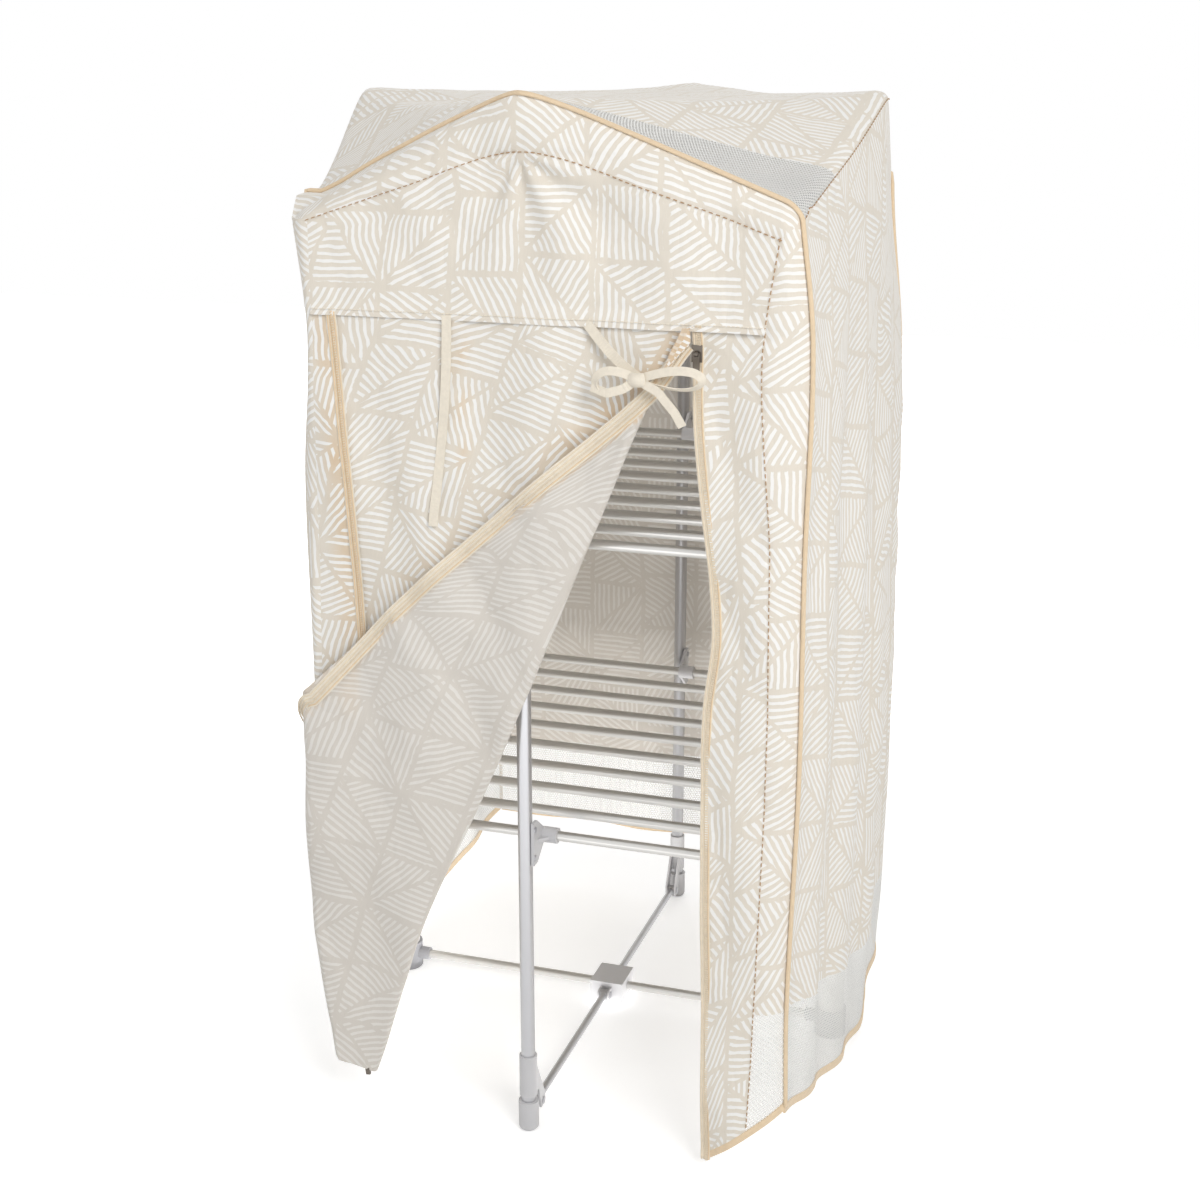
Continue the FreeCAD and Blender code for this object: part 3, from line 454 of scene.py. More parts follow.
@shared("node_groups", "Hatched triangles")
def hatch_group(name):
    """Hand-drawn hatching: triangles, each filled with short strokes in its own direction."""
    g, source, result = new_group(name, {"Vector": "Vector", "Patch": "Float", "Strokes": "Float"},
                                  {"Stroke": "Float"})
    scaled = g.vector("DIVIDE", source["Vector"], g.pack(source["Patch"], source["Patch"], 1.0))
    sway = g.vector("SUBTRACT", g.noise(scaled, 0.8)["Color"], (0.5, 0.5, 0.5))
    swayed = g.vector("ADD", scaled, g.vector("MULTIPLY", sway, (0.14, 0.14, 0.0)))
    x, y, _ = g.parts(swayed)
    column = g.math("FLOOR", x)
    y = g.math("ADD", y, g.dice("W", column, "1D"))
    row = g.math("FLOOR", y)
    fx = g.math("SUBTRACT", x, column)
    fy = g.math("SUBTRACT", y, row)
    turned = g.math("GREATER_THAN", g.dice("Vector", g.pack(column, row, 3.0), "3D"), 0.5)
    fx = g.math("ABSOLUTE", g.math("SUBTRACT", turned, fx))
    diagonal = g.math("SUBTRACT", g.math("ADD", fx, fy), 1.0)
    half = g.math("GREATER_THAN", diagonal, 0.0)
    throw = g.math("MULTIPLY", g.dice("Vector", g.pack(column, row, half), "3D"), 6.0)
    angle = g.math("MULTIPLY", g.math("FLOOR", throw), math.pi / 6)
    reach = g.math("ADD", g.math("MULTIPLY", g.math("COSINE", angle), x),
                   g.math("MULTIPLY", g.math("SINE", angle), y))
    wobble = g.math("MULTIPLY", g.math("SUBTRACT", g.noise(scaled, 4.0)[0], 0.5), 0.05)
    phase = g.math("MULTIPLY", g.math("ADD", reach, wobble), source["Strokes"])
    across = g.math("ABSOLUTE", g.math("SUBTRACT", g.math("FRACT", phase), 0.5))
    width = g.math("ADD", 0.17, g.math("MULTIPLY", g.noise(scaled, 6.5)[0], 0.10))
    gap = g.step(across, g.math("SUBTRACT", width, 0.04), g.math("ADD", width, 0.04))
    stroke = g.math("SUBTRACT", 1.0, gap)
    edge = g.math("MINIMUM", g.math("ABSOLUTE", diagonal), g.math("MINIMUM", fx, fy))
    far_edge = g.math("MINIMUM", g.math("SUBTRACT", 1.0, fx), g.math("SUBTRACT", 1.0, fy))
    edge = g.math("MINIMUM", edge, far_edge)
    frayed = g.math("MULTIPLY", g.math("SUBTRACT", g.noise(scaled, 11.0)[0], 0.5), 0.07)
    inside = g.step(g.math("ADD", edge, frayed), 0.030, 0.050)
    g.plug(result["Stroke"], g.math("MULTIPLY", stroke, inside))
    return g.tree


@shared("node_groups", "Plain weave")
def weave_group(name):
    """Plain weave: raised threads and a slight difference from thread to thread."""
    g, source, result = new_group(name, {"Vector": "Vector", "Thread": "Float"},
                                  {"Height": "Float", "Shade": "Float"})
    turns = g.vector("DIVIDE", source["Vector"], g.pack(source["Thread"], source["Thread"], 1.0))
    x, y, _ = g.parts(turns)
    warp = g.math("ABSOLUTE", g.math("SINE", g.math("MULTIPLY", x, math.pi)))
    weft = g.math("ABSOLUTE", g.math("SINE", g.math("MULTIPLY", y, math.pi)))
    over = g.math("MODULO", g.math("ADD", g.math("FLOOR", x), g.math("FLOOR", y)), 2.0)
    g.plug(result["Height"], g.math("ADD", g.math("MULTIPLY", warp, over),
                                    g.math("MULTIPLY", weft, g.math("SUBTRACT", 1.0, over))))
    slub = g.vector("MULTIPLY", source["Vector"], (900.0, 60.0, 1.0))
    g.plug(result["Shade"], g.noise(slub, 1.0)[0])
    return g.tree


@shared("node_groups", "Cloth creases")
def crease_group(name):
    """Small handling creases of light cloth, longer up and down than across."""
    g, source, result = new_group(name, {"Vector": "Vector"}, {"Height": "Float"})
    tall = g.vector("MULTIPLY", source["Vector"], (24.0, 11.0, 1.0))
    slant = g.vector("MULTIPLY", source["Vector"], (15.0, 19.0, 1.0))
    sharp = g.math("ABSOLUTE", g.math("SUBTRACT", g.noise(tall, 1.0)[0], 0.5))
    soft = g.math("ABSOLUTE", g.math("SUBTRACT", g.noise(slant, 1.0, 1.0)[0], 0.5))
    g.plug(result["Height"], g.math("ADD", sharp, g.math("MULTIPLY", soft, 0.8)))
    return g.tree


@shared("node_groups", "Handling marks")
def wear_group(name):
    """Broad and fine unevenness for plastic, paint and metal."""
    g, source, result = new_group(name, {"Vector": "Vector", "Grain": "Float"},
                                  {"Broad": "Float", "Fine": "Float"})
    g.plug(result["Broad"], g.noise(source["Vector"], 9.0, 3.0)[0])
    g.plug(result["Fine"], g.noise(source["Vector"], source["Grain"], 2.0, 0.6)[0])
    return g.tree


# Materials


def base_material(name):
    material = bpy.data.materials.new(name)
    material.use_nodes = True
    return material, Graph(material.node_tree), material.node_tree.nodes["Principled BSDF"].inputs


def bump(g, shader, height, strength, distance):
    item = g.add("ShaderNodeBump")
    for key, value in (("Strength", strength), ("Distance", distance), ("Height", height)):
        g.plug(item.inputs[key], value)
    g.plug(shader["Normal"], item.outputs[0])


def solid(colour):
    return (*colour, 1.0)


def shade_of(g, colour, share, amount):
    """A colour that varies by an amount to the darker and the lighter side."""
    dark = tuple(c * (1.0 - amount) for c in colour)
    light = tuple(min(1.0, c * (1.0 + amount)) for c in colour)
    return g.mix(share, solid(dark), solid(light))


def printed_cloth(name, ground, contrast):
    """Woven cloth with the hatched print, with warm shade painted into its colour where the mesh marks folds
    and cloth lying double.
    """
    material, g, shader = base_material(name)
    uv = g.coordinates("UV")
    hatch = g.group(hatch_group(), Vector=uv, Patch=look().patch, Strokes=look().strokes)["Stroke"]
    weave = g.group(weave_group(), Vector=uv, Thread=look().thread_width)
    # Painted shade: the mesh's share of warm fold shade mixes the ground towards the fold shade colour.
    painted_shade = g.add("ShaderNodeAttribute", attribute_name="painted_shade").outputs["Fac"]
    ground_and_painted_shade = g.mix(painted_shade, shade_of(g, ground, weave["Shade"], 0.045), solid(look().painted_fold_shade_colour))
    g.plug(shader["Base Color"], g.mix(g.math("MULTIPLY", hatch, contrast), ground_and_painted_shade, solid(look().hatch)))
    shader["Roughness"].default_value = 0.78
    shader["Sheen Weight"].default_value = 0.15
    creases = g.group(crease_group(), Vector=uv)["Height"]
    bump(g, shader, g.math("ADD", creases, g.math("MULTIPLY", weave["Height"], 0.010)), 0.55, 0.010)
    return material


def plain_cloth(name, colour, thread):
    """Woven tape or ribbon."""
    material, g, shader = base_material(name)
    place = g.coordinates("Object")
    weave = g.group(weave_group(), Vector=place, Thread=thread)
    marks = g.group(wear_group(), Vector=place, Grain=160.0)
    g.plug(shader["Base Color"], shade_of(g, colour, marks["Fine"], 0.10))
    shader["Roughness"].default_value = 0.72
    shader["Sheen Weight"].default_value = 0.2
    bump(g, shader, weave["Height"], 0.4, 0.0004)
    return material


def coated(name, colour, roughness, metallic=0.0, depth=0.00006):
    """Paint, moulded plastic or satin metal with slight unevenness."""
    material, g, shader = base_material(name)
    marks = g.group(wear_group(), Vector=g.coordinates("Object"), Grain=700.0)
    g.plug(shader["Base Color"], shade_of(g, colour, marks["Broad"], 0.06))
    g.plug(shader["Roughness"], g.math("ADD", roughness - 0.06, g.math("MULTIPLY", marks["Broad"], 0.12)))
    shader["Metallic"].default_value = metallic
    bump(g, shader, marks["Fine"], 0.25, depth)
    return material


def drawn_metal(name, colour, roughness, axis):
    """Satin tube: fine streaks along its length."""
    material, g, shader = base_material(name)
    place = g.coordinates("Object")
    stretch = tuple(4.0 if letter == axis else 900.0 for letter in "xyz")
    streaks = g.noise(g.vector("MULTIPLY", place, stretch), 1.0)[0]
    marks = g.group(wear_group(), Vector=place, Grain=500.0)
    g.plug(shader["Base Color"], shade_of(g, colour, marks["Broad"], 0.04))
    g.plug(shader["Roughness"], g.math("ADD", roughness - 0.05, g.math("MULTIPLY", streaks, 0.14)))
    shader["Metallic"].default_value = 0.85
    bump(g, shader, streaks, 0.12, 0.00005)
    return material


@shared("materials", "Printed cloth")
def cloth_outer(name):
    return printed_cloth(name, look().cloth, 1.0)


@shared("materials", "Printed cloth inside")
def cloth_inner(name):
    # The lining's darker ground holds painted shade as well as the inside's own colour.
    return printed_cloth(name, look().lining_and_painted_shade, 0.42)


@shared("materials", "Binding")
def binding_cloth(name):
    return plain_cloth(name, look().binding, look().tape_thread)


@shared("materials", "Zip tape")
def tape_cloth(name):
    return plain_cloth(name, look().tape, look().tape_thread)


@shared("materials", "Ribbon")
def ribbon_cloth(name):
    return plain_cloth(name, look().ribbon, look().ribbon_thread)


@shared("materials", "Netting")
def netting(name):
    """White net with open round cells, every other row half a cell on."""
    material, g, shader = base_material(name)
    uv = g.coordinates("UV")
    x, y, _ = g.parts(g.vector("DIVIDE", uv, (look().net_wide, look().net_high, 1.0)))
    x = g.math("ADD", x, g.math("MULTIPLY", g.math("FLOOR", y), 0.5))
    fx = g.math("ABSOLUTE", g.math("SUBTRACT", g.math("FRACT", x), 0.5))
    fy = g.math("ABSOLUTE", g.math("SUBTRACT", g.math("FRACT", y), 0.5))
    hole = g.math("SQRT", g.math("ADD", g.math("POWER", fx, 2.0), g.math("POWER", fy, 2.0)))
    g.plug(shader["Alpha"], g.step(hole, 0.33, 0.39))
    marks = g.group(wear_group(), Vector=uv, Grain=300.0)
    g.plug(shader["Base Color"], shade_of(g, look().netting, marks["Broad"], 0.05))
    shader["Roughness"].default_value = 0.7
    return material


@shared("materials", "Seam thread")
def seam_thread(name):
    return coated(name, look().thread, 0.7)


@shared("materials", "Zip metal")
def zip_metal(name):
    return coated(name, look().zip_metal, 0.34, 0.9)


# Mesh makers


def new_object(name, vertices, faces, materials, edges=()):
    mesh = bpy.data.meshes.new(name)
    mesh.from_pydata([tuple(p) for p in vertices], edges, faces)
    for material in materials:
        mesh.materials.append(material)
    obj = bpy.data.objects.new(name, mesh)
    bpy.context.scene.collection.objects.link(obj)
    return obj


def plain_mesh(obj):
    """Turns an object with modifiers into a plain mesh object."""
    graph = bpy.context.evaluated_depsgraph_get()
    mesh = bpy.data.meshes.new_from_object(obj.evaluated_get(graph), depsgraph=graph)
    obj.modifiers.clear()
    obj.data = mesh
    mesh.name = obj.name


def smooth_shade(obj, degrees):
    obj.data.shade_smooth()
    obj.data.set_sharp_from_angle(angle=math.radians(degrees))


def outward_faces(obj):
    bm = bmesh.new()
    bm.from_mesh(obj.data)
    bmesh.ops.remove_doubles(bm, verts=bm.verts, dist=WELD)
    bmesh.ops.recalc_face_normals(bm, faces=bm.faces)
    bm.to_mesh(obj.data)
    bm.free()


def cloth_lengths(points, middle):
    """Lengths of cloth on a grid: across each row from its middle, and down each column."""
    across = [[0.0] * len(row) for row in points]
    down = [[0.0] * len(row) for row in points]
    for j, row in enumerate(points):
        for i in range(middle + 1, len(row)):
            across[j][i] = across[j][i - 1] + (row[i] - row[i - 1]).length
        for i in range(middle - 1, -1, -1):
            across[j][i] = across[j][i + 1] - (row[i + 1] - row[i]).length
        if j:
            for i, p in enumerate(row):
                down[j][i] = down[j - 1][i] + (p - points[j - 1][i]).length
    return across, down


def cloth_panel(name, place, grid, materials, thickness, flip=False, painted_shade=None):
    """Grid of cloth from place(u, v), a closed thin sheet; its UV map is in metres of cloth."""
    columns, rows = grid
    points = [[Vector(place(u, v)) for u in shares(columns)] for v in shares(rows)]
    vertices = [p for row in points for p in row]
    step = columns + 1
    faces = []
    for j in range(rows):
        for i in range(columns):
            quad = (j * step + i, j * step + i + 1, (j + 1) * step + i + 1, (j + 1) * step + i)
            faces.append(tuple(reversed(quad)) if flip else quad)
    obj = new_object(name, vertices, faces, materials)
    middle = columns // 2
    across, down = cloth_lengths(points, middle)
    start = points[0][middle]
    uv = obj.data.uv_layers.new(name="UVMap")
    for loop in obj.data.loops:
        j, i = divmod(loop.vertex_index, step)
        uv.data[loop.index].uv = (start.x + start.y * 0.7 + across[j][i], start.z + down[j][i])
    # Painted shade: a share per point of the warm fold shade that is painted into the cloth's colour.
    if painted_shade:
        painted_shade_layer = obj.data.attributes.new("painted_shade", "FLOAT", "POINT")
        painted_shade_layer.data.foreach_set("value", [painted_shade(x, z) for x, _, z in vertices])
    obj["flat_area"] = sum(polygon.area for polygon in obj.data.polygons)
    obj["flat_wide"] = max(row[-1] - row[0] for row in across)
    obj["flat_long"] = max(down[-1])
    thicken = obj.modifiers.new("Cloth", "SOLIDIFY")
    thicken.thickness = thickness
    thicken.offset = -1.0
    thicken.material_offset = 1
    thicken.use_even_offset = False
    plain_mesh(obj)
    smooth_shade(obj, 70)
    return obj


def cover_panel(name, place, grid, nodes=(), net=False, flip=False, painted_shade=None):
    """One panel of the cover, of printed cloth or of net, as a thin sheet fixed to the cover."""
    materials = [netting(), netting()] if net else [cloth_outer(), cloth_inner()]
    obj = cloth_panel(name, place, grid, materials, sizes().net if net else sizes().cloth, flip, painted_shade)
    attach(obj, "cover")
    if nodes:
        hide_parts(*nodes)


def directions(points):
    """Direction of a line at each of its points."""
    last = len(points) - 1
    return [(points[min(i + 1, last)] - points[max(i - 1, 0)]).normalized() for i in range(last + 1)]


def bar(name, rings, material, crease=50):
    """Closed bar through rings of points, fixed to the cover."""
    n, last = len(rings[0]), len(rings) - 1
    faces = []
    for i in range(last):
        for k in range(n):
            a, b = i * n + k, i * n + (k + 1) % n
            faces.append((a, b, b + n, a + n))
    faces += [tuple(reversed(range(n))), tuple(range(last * n, last * n + n))]
    obj = new_object(name, [p for ring in rings for p in ring], faces, [material])
    outward_faces(obj)
    smooth_shade(obj, crease)
    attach(obj, "cover")
    return obj


def sweep(name, points, section, material):
    """A bar of one cross-section along points; section is a list of (side, up) offsets."""
    pts = [Vector(p) for p in points]
    rings = []
    side = None
    for p, ahead in zip(pts, directions(pts)):
        if side is None:
            up = Vector((0, -1, 0)) if abs(ahead.y) < 0.8 else Vector((1, 0, 0))
            side = ahead.cross(up).normalized()
        side = (side - ahead * side.dot(ahead)).normalized()
        up = side.cross(ahead).normalized()
        rings.append([p + side * a + up * b for a, b in section])
    return bar(name, rings, material)


def upright_tape(name, points, section, material):
    """A tape that stands upright along points."""
    pts = [Vector(p) for p in points]
    rings = []
    for p, ahead in zip(pts, directions(pts)):
        out = Vector((ahead.y, -ahead.x, 0)).normalized()
        rings.append([p + out * a + Vector((0, 0, b)) for a, b in section])
    bar(name, rings, material, crease=40)


def round_section(wide, high, count):
    """Points of an ellipse, from its half width and half height."""
    turns = [2 * math.pi * k / count for k in range(count)]
    return [(wide * math.cos(a), high * math.sin(a)) for a in turns]


def flat_section(width, height):
    w, h = width / 2.0, height / 2.0
    return [(-w, -h), (w, -h), (w, h), (-w, h)]


def row_along(name, points, spacing, size, material):
    """Stitches or zip teeth: small blocks along points, as one plain mesh."""
    obj = new_object(name, points, [], [], [(i, i + 1) for i in range(len(points) - 1)])
    modifier = obj.modifiers.new("Row", "NODES")
    modifier.node_group = row_tree()
    values = {"Spacing": spacing, "Size": size, "Material": material}
    for item in modifier.node_group.interface.items_tree:
        if item.in_out == "INPUT" and item.name in values:
            modifier[item.identifier] = values[item.name]
    plain_mesh(obj)
    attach(obj, "cover")


def dress(node, material):
    """Gives a solid of the frame its material."""
    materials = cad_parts[node].data.materials
    materials.clear()
    materials.append(material)


# Shapes of the cover


def front_y(x, z):
    """Depth of the front panel: hanging folds below the valance's seam, soft dents above it."""
    grow = 0.3 + 0.7 * rise(SEAM_Z - z, 0.0, 0.12)
    turn = (x - FOLD_START_X) / HALF_FOLD + 0.25 * math.sin(3.1 * z + 0.8)
    folds = FRONT_RIPPLE * math.sin(29.0 * x - 2.2 * z) - FRONT_FOLD * math.sin(math.pi * turn)
    y = sizes().front_y + grow * folds + FRONT_DENT * crumple(x, z, seed=1.7)
    y += apex_creases(x, z) + bow_creases(x, z) - TIE_PLEAT * tie_pleat(x, z)
    beside_x = x - 0.5 * (SLIDER_LOW[0] + SLIDER_HIGH[0])
    beside_z = z - 0.5 * (SLIDER_LOW[2] + SLIDER_HIGH[2])
    near = math.exp(-(beside_x ** 2 + beside_z ** 2) / SLIDER_SPREAD)
    return lerp(min(y, LEG_FRONT_Y), SLIDER_HIGH[1] + sizes().cloth, near)


def apex_creases(x, z):
    """Creases that spread down from the peak of the valance."""
    dx, dz = x - GABLE_SEAM[2][0], GABLE_SEAM[2][1] - z
    if z < SEAM_Z or dz < 0.0:
        return 0.0
    reach = math.hypot(dx, dz)
    fade = min(1.0, reach / 0.04) * math.exp(-reach / 0.16)
    return APEX_CREASE * math.sin(8.0 * math.atan2(dx, dz) + 0.8) * fade


def above_edge(x, z):
    """Distance over the turned-back edge of the flap."""
    return EDGE_SLANT * (z - z_at(FLAP_EDGE, x))


def bow_creases(x, z):
    """Creases along the turned-back edge, where the bow draws the cloth together."""
    above = above_edge(x, z)
    if z > SEAM_Z or above < 0.0:
        return 0.0
    near = rise(x, -0.06, 0.13) * math.exp(-above / 0.035)
    return BOW_CREASE * math.sin(2.0 * math.pi * above / 0.026) * near


def tie_pleat(x, z):
    """Narrow pleat that runs down beside the hanging tie, 0 to 1."""
    if z > SEAM_Z:
        return 0.0
    return math.exp(-((x - PLEAT_X) / 0.0055) ** 2) * rise(z, 0.86, 0.98)


def painted_fold_shade_share(x, z):
    """Share of painted warm shade for folds and cloth lying double: by the left zip, the tie and the
    turned-back edge.
    """
    if z > SEAM_Z:
        return 0.0
    zip_side = x_at(LEFT_ZIP, z) - x
    left = rise(zip_side, -0.006, 0.004) * (1.0 - rise(zip_side, 0.012, 0.040)) * rise(z, 0.55, 0.75)
    above = above_edge(x, z)
    edge = 0.0
    if above > -0.02:
        edge = (1.0 - rise(above, 0.004, 0.040)) * (0.35 + 0.65 * rise(x, -0.02, 0.15))
    patchy = 0.75 + 0.5 * ripple(x, z, 0.035, seed=4.4)
    return min(1.0, max(0.8 * left, 0.7 * tie_pleat(x - 0.004, z), edge) * patchy)


def turned_y(x, z):
    """Depth of the flap where it lies turned back over the front."""
    radius = sizes().fold_radius
    lift = min(1.0, max(0.0, (x_at(FOLD_LINE, z) - radius - x) / 0.12))
    sag = 0.5 + 0.5 * math.sin(11.0 * (x + 0.42 * z) + 0.6)
    dent = FLAP_DENT * crumple(x + 0.5 * z, z * 0.4, seed=31.0)
    return front_y(x, z) - 2.0 * radius - lift * (FLAP_SAG * sag + dent)


def wrap_x(z):
    """Where the turned-back flap bends round the left corner."""
    return x_at(LEFT_EDGE, z) + WRAP_IN


def wrap_length(z):
    """Length of the flap that lies round the left corner."""
    return max(0.0, min(WRAP_MOST, wrap_x(z) - x_at(FLAP_EDGE, z)))


def wrapped(z, length):
    """Point of the flap, (x, y), at a length past the left corner."""
    bend = 1.0 - math.exp(-length / WRAP_BEND)
    x = max(wrap_x(z), x_at(FLAP_EDGE, z))
    return (x - WRAP_OUT * bend, turned_y(x, z) + max(0.0, length - WRAP_IN * bend))


def band_y(share, x, z, edge_y):
    """Depth of the band between the front seam, 0, and the piped edge, 1."""
    belly = BAND_DENT * crumple(x * 2.0, z, seed=5.1) - BAND_BELLY
    return lerp(front_y(x, z), edge_y, share) + belly * math.sin(math.pi * share)


def droop(reach):
    """Fall of the roof cloth from its highest line, 0, to a corner, 1."""
    return 1.08 * reach * reach / (reach + 0.08) if reach > 0.0 else 0.0


def edge_sag(side, reach):
    """Hollow of the roof's side edges between a post and a front corner."""
    return SIDE_SAG[side] * math.sin(math.pi * min(1.0, reach))


def front_corner(side):
    """Height of a front corner of the roof."""
    return (RIGHT_EDGE if side > 0 else LEFT_EDGE)[0][1]


def low_share(z):
    """0 at the top of the walls and 1 at the floor."""
    return max(0.0, (1.2 - z) / 1.2)


def wall_depth(share):
    """Depth at a share of a side wall, and its reach from the post, 0, to a corner, 1."""
    y = lerp(sizes().edge_y, sizes().rear_y, share)
    return y, y / (sizes().edge_y if y < 0 else sizes().rear_y)


def rear_corner(z):
    """Half the width of the rear, which swells below the roof's corners."""
    return sizes().rear_x + REAR_SWELL * rise(1.26 - z, 0.0, 0.32)


def side_path(side, share, z):
    """Plan of a side wall from the piped front edge to the rear corner: (x, y)."""
    y, reach = wall_depth(share)
    if y < 0:
        corner_x = x_at(RIGHT_EDGE, z) if side > 0 else -x_at(LEFT_EDGE, z)
        bend = 1.2
    else:
        corner_x = rear_corner(z)
        bend = 1.0 + 0.9 * rise(1.30 - z, 0.0, 0.3)
    x = lerp(x_at(SIDE_LINE, z), corner_x, reach ** bend)
    low = low_share(z)
    turn = SIDE_FOLDS * (1.0 - reach if y < 0 else 1.0 + reach) + 0.25 * math.sin(2.6 * z + side)
    ends = min(1.0, 12.0 * share, 12.0 * (1.0 - share)) * min(1.0, 4.0 * low)
    calm = 1.0 - 0.5 * rise(0.26 - z, 0.0, 0.2)
    folds = -(SIDE_FOLD + SIDE_FOLD_LOW * low) * calm * math.sin(math.pi * turn)
    return side * (x + ends * (folds + SIDE_DENT * crumple(y, z, seed=9.0 + side))), y


def side_point(side, share, z):
    return (*side_path(side, share, z), z)


def side_top(side, share):
    """Height of a side wall's upper edge."""
    y, reach = wall_depth(share)
    corner, sag, fall = CORNER_Z, 0.0, shoulder(1.0, reach)
    if y < 0:
        corner, sag, fall = front_corner(side), edge_sag(side, reach), shoulder(1.0, -reach)
    return over_wing(y, ROOF_Z - (ROOF_Z - corner) * droop(reach) - sag - fall)


def over_wing(y, z):
    """Keeps the roof cloth on top of the upper wings' corners."""
    return max(z, WING_TOP + WING_GAP - WING_SLOPE * max(0.0, abs(y) - WING_REACH))


def shoulder(s, t):
    """Rounded fall of the roof cloth into the side walls, deeper at the front corners."""
    depth = lerp(SHOULDER * (1.0 - min(1.0, abs(t)) ** 4), CORNER_SHOULDER, rise(-t, 0.55, 1.0))
    turn = min(1.0, max(0.0, (abs(s) - SHOULDER_FROM) / (1.0 - SHOULDER_FROM)))
    return depth * (1.0 - math.sqrt(1.0 - turn * turn))


def side_hem(share):
    """Height of a side wall's hem, lowest near the middle."""
    return SIDE_HEM_LOW + SIDE_HEM_RISE * abs(2.0 * (share - LOWEST_SHARE)) ** 1.5


def side_net(share):
    """Height at which a side wall changes to net."""
    return SIDE_NET_LOW + SIDE_NET_RISE * abs(2.0 * (share - LOWEST_SHARE))


def rear_place(share, z):
    """Point of the rear wall, from the right corner, 0, to the left one, 1."""
    x = lerp(rear_corner(z), -rear_corner(z), share)
    ends = math.sin(math.pi * share)
    folds = REAR_FOLD * math.sin(29.0 * x + 1.2 * math.sin(2.7 * z)) * (0.3 + low_share(z))
    return (x, sizes().rear_y + ends * (folds + REAR_DENT * crumple(x, z, seed=14.0)), z)


def roof_place(s, t):
    """Roof cloth: s from the left end, -1, to the right, 1, and t from the front, -1, to the rear, 1."""
    cover = sizes()
    y = t * (-cover.edge_y if t < 0 else cover.rear_y)
    share = (y - cover.edge_y) / (cover.rear_y - cover.edge_y)
    side = 1 if s > 0 else -1
    end_x, _ = side_path(side, share, side_top(side, share))
    x = lerp(GABLE_APEX_X * max(0.0, -t), end_x, abs(s))
    inside = max(0.0, 1.0 - max(abs(s), abs(t)) ** 4)
    sag = inside * (ROOF_SAG + ROOF_DENT * crumple(x, y, seed=21.0))
    corner = CORNER_Z
    if t < 0:
        corner = front_corner(side)
        sag += edge_sag(side, -t) * abs(s) ** 2
        y -= APEX_PULL * t ** 4 * math.exp(-(s / 0.14) ** 2)
    z = ROOF_Z - (ROOF_Z - corner) * droop(abs(s) + abs(t) - 1.0) - sag - shoulder(s, t)
    return (x, y, over_wing(y, z))


def gable_edge(share):
    """Front edge of the roof, spread so that its apex lies over the apex of the seam below."""
    middle = (GABLE_SEAM[2][0] - GABLE_SEAM[0][0]) / (GABLE_SEAM[-1][0] - GABLE_SEAM[0][0])
    s = (share - middle) / (middle if share < middle else 1.0 - middle)
    return roof_place(s, -1.0)


def vent_line(s):
    """Rear edge of the net vent behind the piping at the right."""
    return -1.0 + VENT_REACH * max(0.0, s)


# Pieces of the cover


class AIRER_OT_roof(bpy.types.Operator):
    """Printed roof of the cover and its net vent"""

    bl_idname = "airer.roof"
    bl_label = "Roof"

    def execute(self, context):
        def place(u, v):
            s = math.sin(math.pi * (u - 0.5))
            return roof_place(s, lerp(vent_line(s), 1.0, v))

        def vent_place(u, v):
            s = lerp(0.02, 1.0, math.sin(0.5 * math.pi * u))
            return roof_place(s, lerp(-1.0, vent_line(s), v))

        cover_panel("cover_roof_cloth", place, (90, 80), ["cover_roof"])
        cover_panel("roof_vent", vent_place, (40, 10), net=True)
        return {"FINISHED"}


class AIRER_OT_front(bpy.types.Operator):
    """Valance, right strip and the band round the front"""

    bl_idname = "airer.front"
    bl_label = "Front"

    def execute(self, context):
        def valance_place(u, v):
            top = lerp(GABLE_SEAM[0][0], GABLE_SEAM[-1][0], u)
            x = lerp(lerp(x_at(LEFT_SEAM, SEAM_Z), x_at(RIGHT_SEAM, SEAM_Z), u), top, v)
            z = lerp(SEAM_Z - VALANCE_OVERLAP, z_at(GABLE_SEAM, top), v)
            return (x, front_y(x, max(z, SEAM_Z + 0.0001)) - VALANCE_OUT * (1.0 - rise(v, 0.0, 0.14)), z)

        def strip_place(u, v):
            z = lerp(lerp(HEM_AT_ZIP, HEM_AT_SEAM, u), SEAM_Z, v)
            x = lerp(x_at(ZIP_LINE, z), x_at(RIGHT_SEAM, z), u)
            return (x, front_y(x, z) - 0.004 * (1.0 - u) * math.sin(9.0 * z) ** 2, z)

        cover_panel("valance_cloth", valance_place, (120, 56), ["cover_valance"])
        cover_panel("strip_cloth", strip_place, (22, 150), ["front_strip"])
        self.gable_band()
        self.side_band("right", 1, RIGHT_SEAM, RIGHT_EDGE)
        self.side_band("left", -1, LEFT_SEAM, LEFT_EDGE)
        return {"FINISHED"}

    def gable_band(self):
        def place(u, v):
            share = 0.5 + 0.5 * math.sin(math.pi * (u - 0.5))
            seam_x = lerp(GABLE_SEAM[0][0], GABLE_SEAM[-1][0], share)
            edge = gable_edge(share)
            x, z = lerp(seam_x, edge[0], v), lerp(z_at(GABLE_SEAM, seam_x), edge[2], v)
            return (x, band_y(v, x, z, edge[1]), z)

        cover_panel("gable_band", place, (90, 12))

    def side_band(self, word, side, seam_line, edge_line):
        """Printed band between the front seam and the piped edge, with net below it."""
        edge_y = sizes().edge_y
        corner = side_top(side, 0.0)

        def across(u, seam_z, edge_z):
            x = lerp(x_at(seam_line, seam_z), x_at(edge_line, edge_z), u)
            z = lerp(seam_z, edge_z, u)
            return (x, band_y(u, x, z, edge_y), z)

        def place(u, v):
            return across(u, lerp(BAND_LOW_Z, seam_line[0][1], v), lerp(BAND_LOW_Z, corner, v))

        def net_place(u, v):
            z = lerp(lerp(HEM_AT_SEAM, HEM_AT_EDGE, u), BAND_LOW_Z + NET_OVERLAP, v)
            return across(u, z, z)

        cover_panel(word + "_band", place, (12, 120), flip=side < 0)
        cover_panel(word + "_band_net", net_place, (8, 20), net=True, flip=side < 0)


